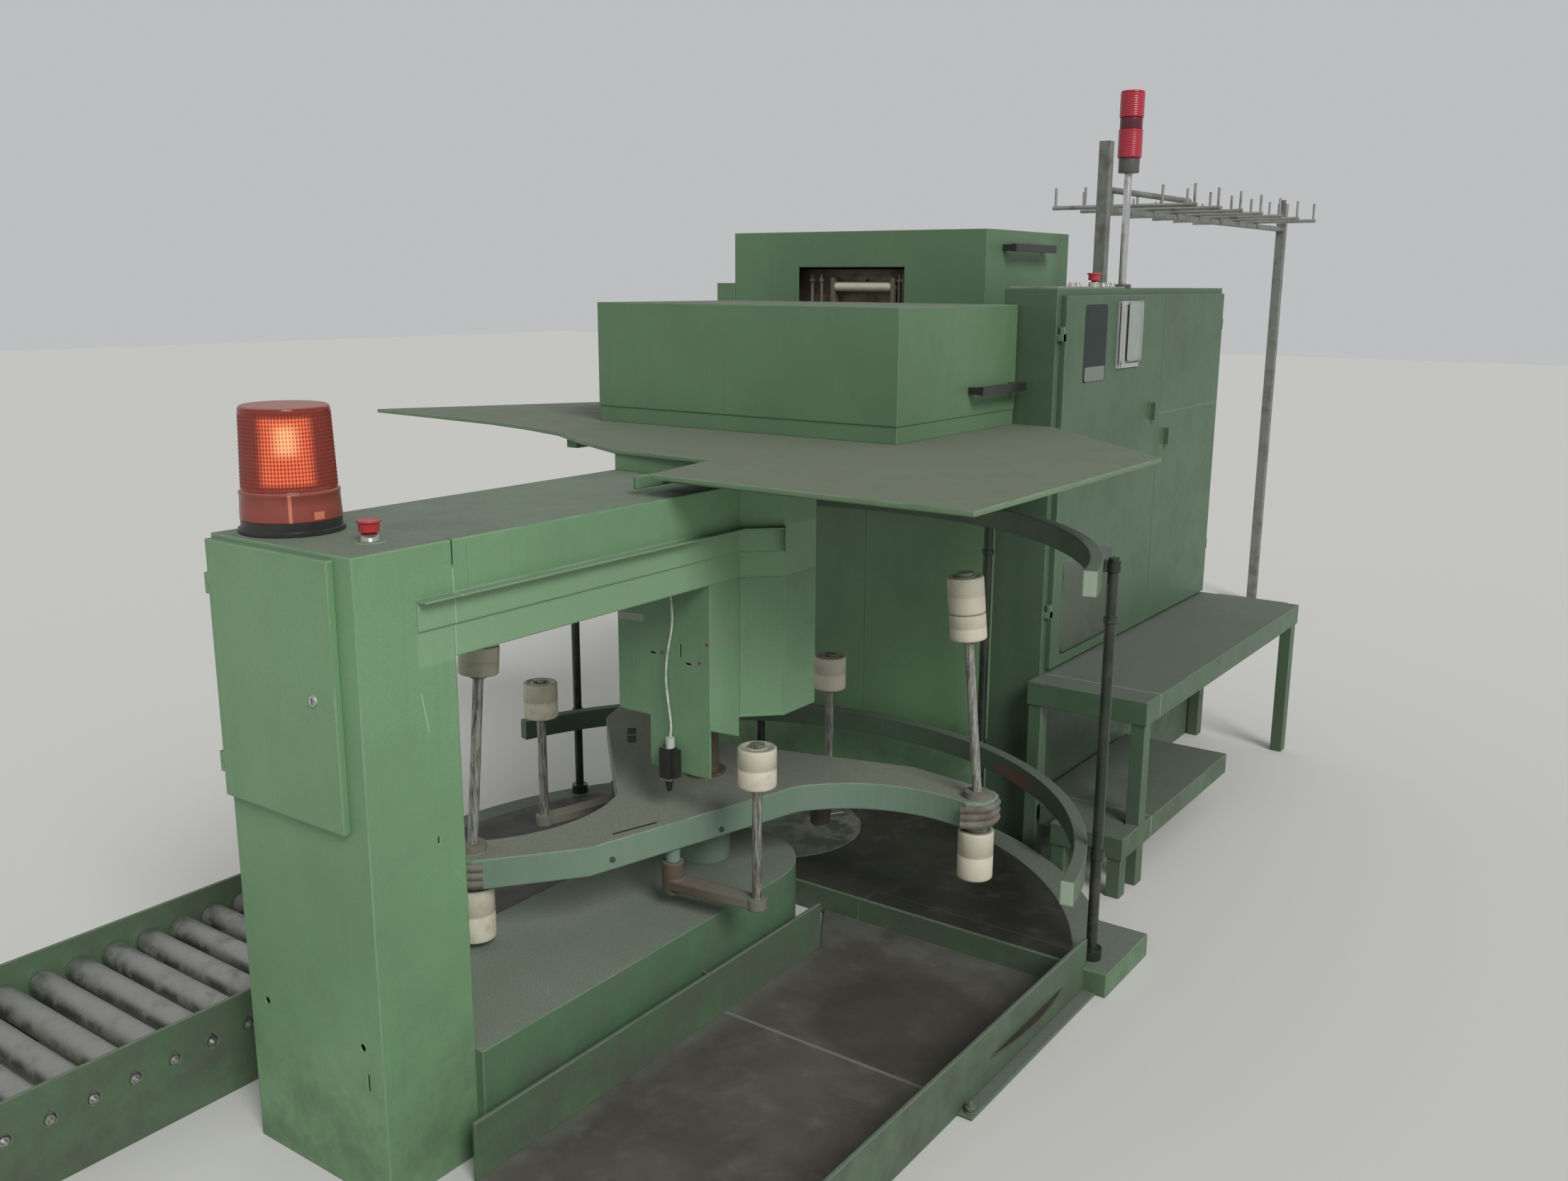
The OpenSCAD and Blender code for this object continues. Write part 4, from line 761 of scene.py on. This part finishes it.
def lens_rings(foot, sides=352):
    """Half outline of the lens wall, from the middle of the inner roof down the inside, round the
    rim and up the outside. The drum's wall is 0.6 mm in, and its ribs add 0.5 mm cos(88 a) round it
    and 0.4 mm cos(2 pi z / 6.6 mm) up it."""
    drum = np.arange(79, 206.1, rib_pitch / 4)
    q = np.linspace(0, np.pi / 2, 7)
    z_out = np.concatenate([[24, 26, 48, 68, 69, 72, 74, 76], drum, 211 + 9 * np.sin(q), [220.5, 219, 219]])
    r_out = np.concatenate([[85.6, 85.8, 84.9, 84.1, 85.2, 85.0, 82.0, 81.2], 81.2 - 4.4 * (drum - 79) / 127,
                            67.5 + 9 * np.cos(q), [64, 58, 0]])
    z_in = np.array([215, 215, 210, 130, 72, 24])
    r_in = np.array([0, 60, 71, 75, 79, 82])
    ribbed = np.concatenate([np.zeros(len(z_in)), (z_out > 80) & (z_out < 205)])[:, None]
    a = circle(sides)[None, :]
    z, r = np.concatenate([z_in, z_out])[:, None], np.concatenate([r_in, r_out])[:, None]
    r = r + ribbed * (0.5 * np.cos(rib_count * a) + 0.4 * np.cos(2 * np.pi * z / rib_pitch) - 0.6)
    return np.stack([foot[0] + r * np.cos(a) / 1000, foot[1] + r * np.sin(a) / 1000, foot[2] + z / 1000 + 0 * a], -1)


lens = skin("beacon_lens_ribbed", lens_rings(beacon_foot))
orange = Finish("clear_orange")
lx, ly, lz = orange.xyz()
around = (ly - beacon_foot[1]).math("ARCTAN2", lx - beacon_foot[0])
upright = (around * rib_count).math("COSINE")
level = ((lz - beam_top) * (2000 * math.pi / rib_pitch)).math("COSINE")
# Painted light and shade along the ribs: streaks lighter and darker by rib phase, in the lens colour and in the
# painted reflection.
rib_light_and_shade = (upright * 0.3 + level * 0.22 + 0.5).clear()
# Painted reflection: a bright patch on the drum's side toward the viewpoint stands for the light of the silvered
# reflector inside, and is brightest in its core.
aside = (around - math.radians(-36)).math("ABSOLUTE")
reflection_patch = (1 - orange.step(aside, 0.42, 0.70)) * orange.inside(lz, beam_top + 0.092, beam_top + 0.196, 0.010)
reflection_core = (1 - orange.step(aside, 0.05, 0.42)) * orange.inside(lz, beam_top + 0.150, beam_top + 0.176, 0.024)
painted_reflection = (reflection_patch * (rib_light_and_shade * 0.98 + reflection_core * 0.28)).clear()
lit = orange.mix(reflection_core, (0.88, 0.155, 0.060), (1.0, 0.42, 0.20))
smoked_with_rib_shade = orange.mix(rib_light_and_shade * 0.6, (0.175, 0.026, 0.018), (0.36, 0.066, 0.044))
skirt = 1 - orange.step(lz, beam_top + 0.068, beam_top + 0.074)
# Painted highlights on the skirt: an upright stripe on the side toward the viewpoint and a short level band, in pale
# orange.
wide_skirt_glint = orange.inside(around, -0.16, 0.06, 0.01) * orange.inside(lz, 1.198, 1.210)
skirt_glints = (orange.inside(around, -0.66, -0.60, 0.01) + wide_skirt_glint).clear() * skirt
orange_up = orange.step(orange.facing_up(), 0.4, 0.9)
orange_patch = orange.noise(30.0, 4.0, 0.6)
orange_film = (orange_up * 0.75 + skirt * 0.14 + orange.step(orange_patch, 0.5, 0.8) * 0.08).clear()
tint = orange.mix(painted_reflection, orange.mix(skirt, smoked_with_rib_shade, (0.27, 0.045, 0.030)), lit)
tint = orange.mix(skirt_glints * 0.8, tint, (0.80, 0.26, 0.14))
tint = orange.mix(orange_film, tint, (0.40, 0.245, 0.205))
# The painted reflection's colour also feeds the emission, so that patch glows.
orange.set(Base_Color=tint, Roughness=(0.14 + orange_film * 0.55).clear(), Normal=orange.bump(orange_patch, 0.0003),
           Emission_Color=orange.mix(painted_reflection, (0, 0, 0), lit))
orange.set(Transmission_Weight=0.08, IOR=1.35, Emission_Strength=0.45)
paint(lens, orange)
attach(lens, "frame_body")
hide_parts("beacon_lens")
silver = Finish("silvered_reflector")
silver.set(Base_Color=(0.9, 0.88, 0.84, 1.0), Metallic=0.7, Roughness=(0.12 + silver.noise(40.0) * 0.2).clear())
paint_nodes("beacon_reflector", silver)


# Stop buttons. A red moulded head with a straight skirt under a wider dished rim, pressed into a
# chrome collar that stands on the column top; a smaller one stands on the control panel.
def mushroom_rings(x, y, z, r, stem, sides=56):
    """Outline turned about the upright axis: stem, flat underside, skirt, a flared rim 4.6 mm tall
    with rounded edges and a dish 1.5 mm deep."""
    outline = np.array([
        [0, 0.05], [stem - 0.05, 0.05], [stem - 0.05, 17.4], [r - 4.4, 17.4], [r - 3.8, 17.8], [r - 3.6, 18.6],
        [r - 3.6, 31.2], [r - 3.0, 32.6], [r - 1.2, 33.3], [r - 0.4, 33.8], [r - 0.1, 34.8], [r - 0.1, 36.8],
        [r - 0.5, 37.6], [r - 1.3, 37.9], [r - 2.3, 37.7], [r - 3.0, 36.9], [r - 4.0, 36.4], [0, 36.6]])
    a = circle(sides)[None, :]
    radius, up = outline[:, 0, None] / 1000, outline[:, 1, None] / 1000
    return np.stack([x + radius * np.cos(a), y + radius * np.sin(a), z + up + 0 * a], -1)


red_height = red_plastic.axis(red_plastic.place(), 2)
red_rim = red_plastic.inside(red_height, 1.2028, 1.2090) + red_plastic.inside(red_height, 1.6228, 1.6290)
red_plastic.over(red_rim.clear() * 0.6, (0.30, 0.10, 0.10), 0.45)
stop_foot, panel_foot = (0.115, -1.033, beam_top), (0.398, 1.278, 1.590)
for name, rings in (("stop_button", mushroom_rings(*stop_foot, 21.0, 12.0)),
                    ("panel_stop", mushroom_rings(*panel_foot, 20.0, 8.0))):
    piece = skin(name + "_mushroom", rings)
    paint(piece, red_plastic)
    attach(piece, name + "_body")
    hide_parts(name)
chrome = metal("worn_chrome", (0.62, 0.62, 0.60), 0.16, (0.30, 0.29, 0.26))
collar = np.array([[15.05, 1.6], [17.2, 1.6], [17.4, 2.0], [17.4, 3.2], [15.9, 3.8], [15.6, 4.4], [15.6, 12.4],
                   [15.2, 13.0], [15.05, 13.0]]) / 1000
collar_ring = turned_piece("stop_button_collar", collar, shift(*stop_foot), 48)
paint(collar_ring, chrome)
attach(collar_ring, "frame_body")

# Stack light. A grey foot, a polished tube, and two ribbed red lenses parted by a dark band; each
# part is turned and the lens ribs run round it.
light_grey = plastic("stack_grey", (0.085, 0.080, 0.080), 0.4)
stack_red = plastic("stack_red", (0.42, 0.022, 0.045), 0.22, 0.2)
stack_band = plastic("stack_band", (0.10, 0.012, 0.020), 0.3, 0.2)
stack_lens = np.linspace(0, 1, 49)


def lens_profile(radius, z0, z1):
    """Half outline of a lens, in metres: rings 1.2 mm deep at a 6 mm pitch, between plain rims that
    take a twentieth of its height each."""
    z = z0 + (z1 - z0) * stack_lens
    wave = 0.6 * np.cos(2 * np.pi * (z - z0) / 6.0) * (stack_lens > 0.05) * (stack_lens < 0.95)
    side = np.column_stack([radius - 0.6 + wave, z])
    return np.vstack([[[1.0, z0]], [[radius - 2, z0]], side, [[radius - 2, z1]], [[1.0, z1]]]) / 1000


def round_profile(radius, z0, z1, rim=2.0):
    """Half outline of a plain round part, in metres, with both rims rounded."""
    q = np.linspace(0, np.pi / 2, 5)
    low = np.column_stack([radius - rim + rim * np.sin(q), z0 + rim - rim * np.cos(q)])
    high = np.column_stack([radius - rim + rim * np.cos(q), z1 - rim + rim * np.sin(q)])
    return np.vstack([[[1.0, z0]], low, high, [[1.0, z1]]]) / 1000


for name, profile, finish, slot in (
        ("stack_foot", round_profile(26, 1585, 1597), light_grey, "black_plastic"),
        ("stack_tube", round_profile(11, 1596, 1914, 0.5), chrome, "bare_steel"),
        ("stack_cup", round_profile(30, 1913, 1955), light_grey, "black_plastic"),
        ("stack_lens_low", lens_profile(35, 1955, 2033), stack_red, "red_plastic"),
        ("stack_band", round_profile(32, 2033, 2067), stack_band, "red_plastic"),
        ("stack_lens_high", lens_profile(35, 2067, 2132), stack_red, "red_plastic"),
        ("stack_cap", round_profile(34, 2131, 2140, 4.0), stack_red, "red_plastic")):
    piece = turned_piece(name, profile, shift(0.392, 1.500, 0.0), 40)
    paint(piece, finish)
    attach(piece, "frame_body")
    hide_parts("stack_light")

# Door lock. A chrome cylinder lock with a rounded edge, pressed into the column's sheet door; its
# key slot is a dark upright bar, painted shade that stands for the hole.
lock_place = shift(0.107, -1.1588, 0.920) @ np.array(Matrix.Rotation(math.pi / 2, 4, "X"))
q = np.linspace(0, np.pi / 2, 6)
lock_profile = np.vstack([[[0.0005, 0.0022], [0.0012, 0.0022], [0.0015, 0.0030], [0.0078, 0.0034]],
                          np.column_stack([0.0078 + 0.0030 * np.sin(q), 0.0004 + 0.0030 * np.cos(q)]),
                          [[0.0108, 0.0], [0.0005, 0.0]]])
lock = turned_piece("door_lock", lock_profile[::-1], lock_place, 32)
paint(lock, chrome)
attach(lock, "door_body")
slot_in_lock = block("door_lock_slot", (0.1062, -1.1623, 0.9140), (0.1078, -1.1618, 0.9260))
paint(slot_in_lock, black_plastic)
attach(slot_in_lock, "door_body")


# Flat fittings. The strip of old tape on the drive housing, and on the cabinet's front door a bare
# dark plate with a pale strip, a dusty lower panel, and the window's frosted panel with three
# polished bars. Each is a thin pad with a rolled edge.
def pad(name, centre, size, across, up, thick, corner=0.002, crumple=0.0, cells=14):
    """Thin rectangle on a grid u, v in -1..1: each corner is drawn in as |u v|^30, the face stands
    thick proud, falling to the edge as 1 - max(|u|, |v|)^12, plus a crumple."""
    across, up = np.array(across, float), np.array(up, float)
    out = np.cross(across, up)
    g = np.sin(np.linspace(-np.pi / 2, np.pi / 2, cells))
    u, v = np.meshgrid(g, g, indexing="ij")
    edge = np.maximum(abs(u), abs(v))
    reach = corner / np.array(size)
    x = u * (1 - 2 * reach[0] * abs(v)**30 * abs(u)**30)
    y = v * (1 - 2 * reach[1] * abs(u)**30 * abs(v)**30)
    lift = thick * (1 - edge**12) + crumple * np.sin(5.0 * u + 2.0 * v) * np.cos(4.0 * v) * (1 - edge**4)
    face = np.array(centre) + x[..., None] * across * size[0] / 2 + y[..., None] * up * size[1] / 2
    front, back = face + lift[..., None] * out, face - 0.0004 * out
    n = cells
    i, j = np.meshgrid(np.arange(n - 1), np.arange(n - 1), indexing="ij")
    a, b, c, d = (((i + di) * n + j + dj).ravel() for di, dj in ((0, 0), (1, 0), (1, 1), (0, 1)))
    faces = np.column_stack([a, b, c, d]).tolist() + (np.column_stack([d, c, b, a]) + n * n).tolist()
    rim = np.concatenate([np.arange(n) * n, (n - 1) * n + np.arange(1, n), np.arange(n - 2, -1, -1) * n + n - 1,
                          np.arange(n - 2, 0, -1)])
    faces += [[int(p), int(p) + n * n, int(r) + n * n, int(r)] for p, r in zip(rim, np.roll(rim, -1))]
    return mesh_of(name, np.vstack([front.reshape(-1, 3), back.reshape(-1, 3)]), faces)


tape = pad("housing_tape", (-0.014, -0.2392, 0.866), (0.076, 0.020), (1, 0, 0.05), (0, 0, 1), 0.0006, 0.002, 0.0008)
old_tape = plastic("old_tape", (0.36, 0.42, 0.31), 0.6, 0.5)
paint(tape, old_tape)
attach(tape, "frame_body")
blank_dark = plastic("blank_plate", (0.016, 0.026, 0.024), 0.65, 0.08)
blank_grey = plastic("blank_strip", (0.17, 0.20, 0.17), 0.5, 0.4)
dusty_panel = enamel("dusty_panel", (0.080, 0.102, 0.072), dust=0.6, veil=0.7, shift=9.4,
                     dust_colour=(0.120, 0.125, 0.095))
frost = plastic("frosted_panel", (0.30, 0.33, 0.30), 0.35, 0.6)
window_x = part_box("cabinet_window")[1][0]
for name, middle, size, thick, finish, slot in (
        ("door_blank_plate", (0.4402, 1.212, 1.435), (0.156, 0.214), 0.0016, blank_dark, "black_plastic"),
        ("door_blank_strip", (0.4416, 1.213, 1.350), (0.140, 0.042), 0.0008, blank_grey, "cream_plastic"),
        ("door_lower_panel", (0.4402, 1.245, 0.698), (0.350, 0.274), 0.0016, dusty_panel, "green_paint"),
        ("window_bar_1", (window_x, 1.371, 1.460), (0.011, 0.180), 0.0050, chrome, "bare_steel"),
        ("window_bar_2", (window_x, 1.387, 1.460), (0.013, 0.182), 0.0060, chrome, "bare_steel"),
        ("window_frost", (window_x, 1.478, 1.460), (0.100, 0.172), 0.0020, frost, "window_clear"),
        ("window_edge", (window_x, 1.5285, 1.460), (0.006, 0.180), 0.0040, chrome, "bare_steel")):
    piece = pad(name, middle, size, (0, 1, 0), (0, 0, 1), thick, min(0.006, size[0] / 4))
    paint(piece, finish)
    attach(piece, "cabinet_front_body")

# Slot back. What shows behind the web guide through the cover's slot is brown and oily, not a void;
# a thin sheet stands for it, and its form is guessed.
slot_back = pad("slot_back", (-0.347, 1.1861, 1.586), (0.424, 0.106), (1, 0, 0), (0, 0, 1), 0.0020)
paint(slot_back, oily_metal)
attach(slot_back, body_of(parts["web_guide"])[0])

# Room. A plain pale floor, a soft key light from the operator side and even fill from all round;
# none of it belongs to the machine.
floor_corners = [[-30, -30, -0.001], [30, -30, -0.001], [30, 30, -0.001], [-30, 30, -0.001]]
floor = mesh_of("floor", floor_corners, [[0, 1, 2, 3]], False)
pale = Finish("pale_floor")
pale.set(Base_Color=(0.62, 0.61, 0.58, 1.0), Roughness=0.9)
paint(floor, pale)
sun = bpy.data.objects.new("key_light", bpy.data.lights.new("key_light", "SUN"))
sun.data.energy, sun.data.angle = 1.9, math.radians(24)
sun.matrix_world = Matrix.Rotation(math.radians(62), 4, "Z") @ Matrix.Rotation(math.radians(52), 4, "X")
bpy.context.scene.collection.objects.link(sun)
world = bpy.data.worlds.new("room")
bpy.context.scene.world = world
world.use_nodes = True
sky = world.node_tree.nodes["Background"].inputs
sky["Color"].default_value, sky["Strength"].default_value = (0.60, 0.61, 0.62, 1.0), 0.85
bpy.context.scene.view_settings.view_transform = "Standard"

bpy.context.view_layer.update()
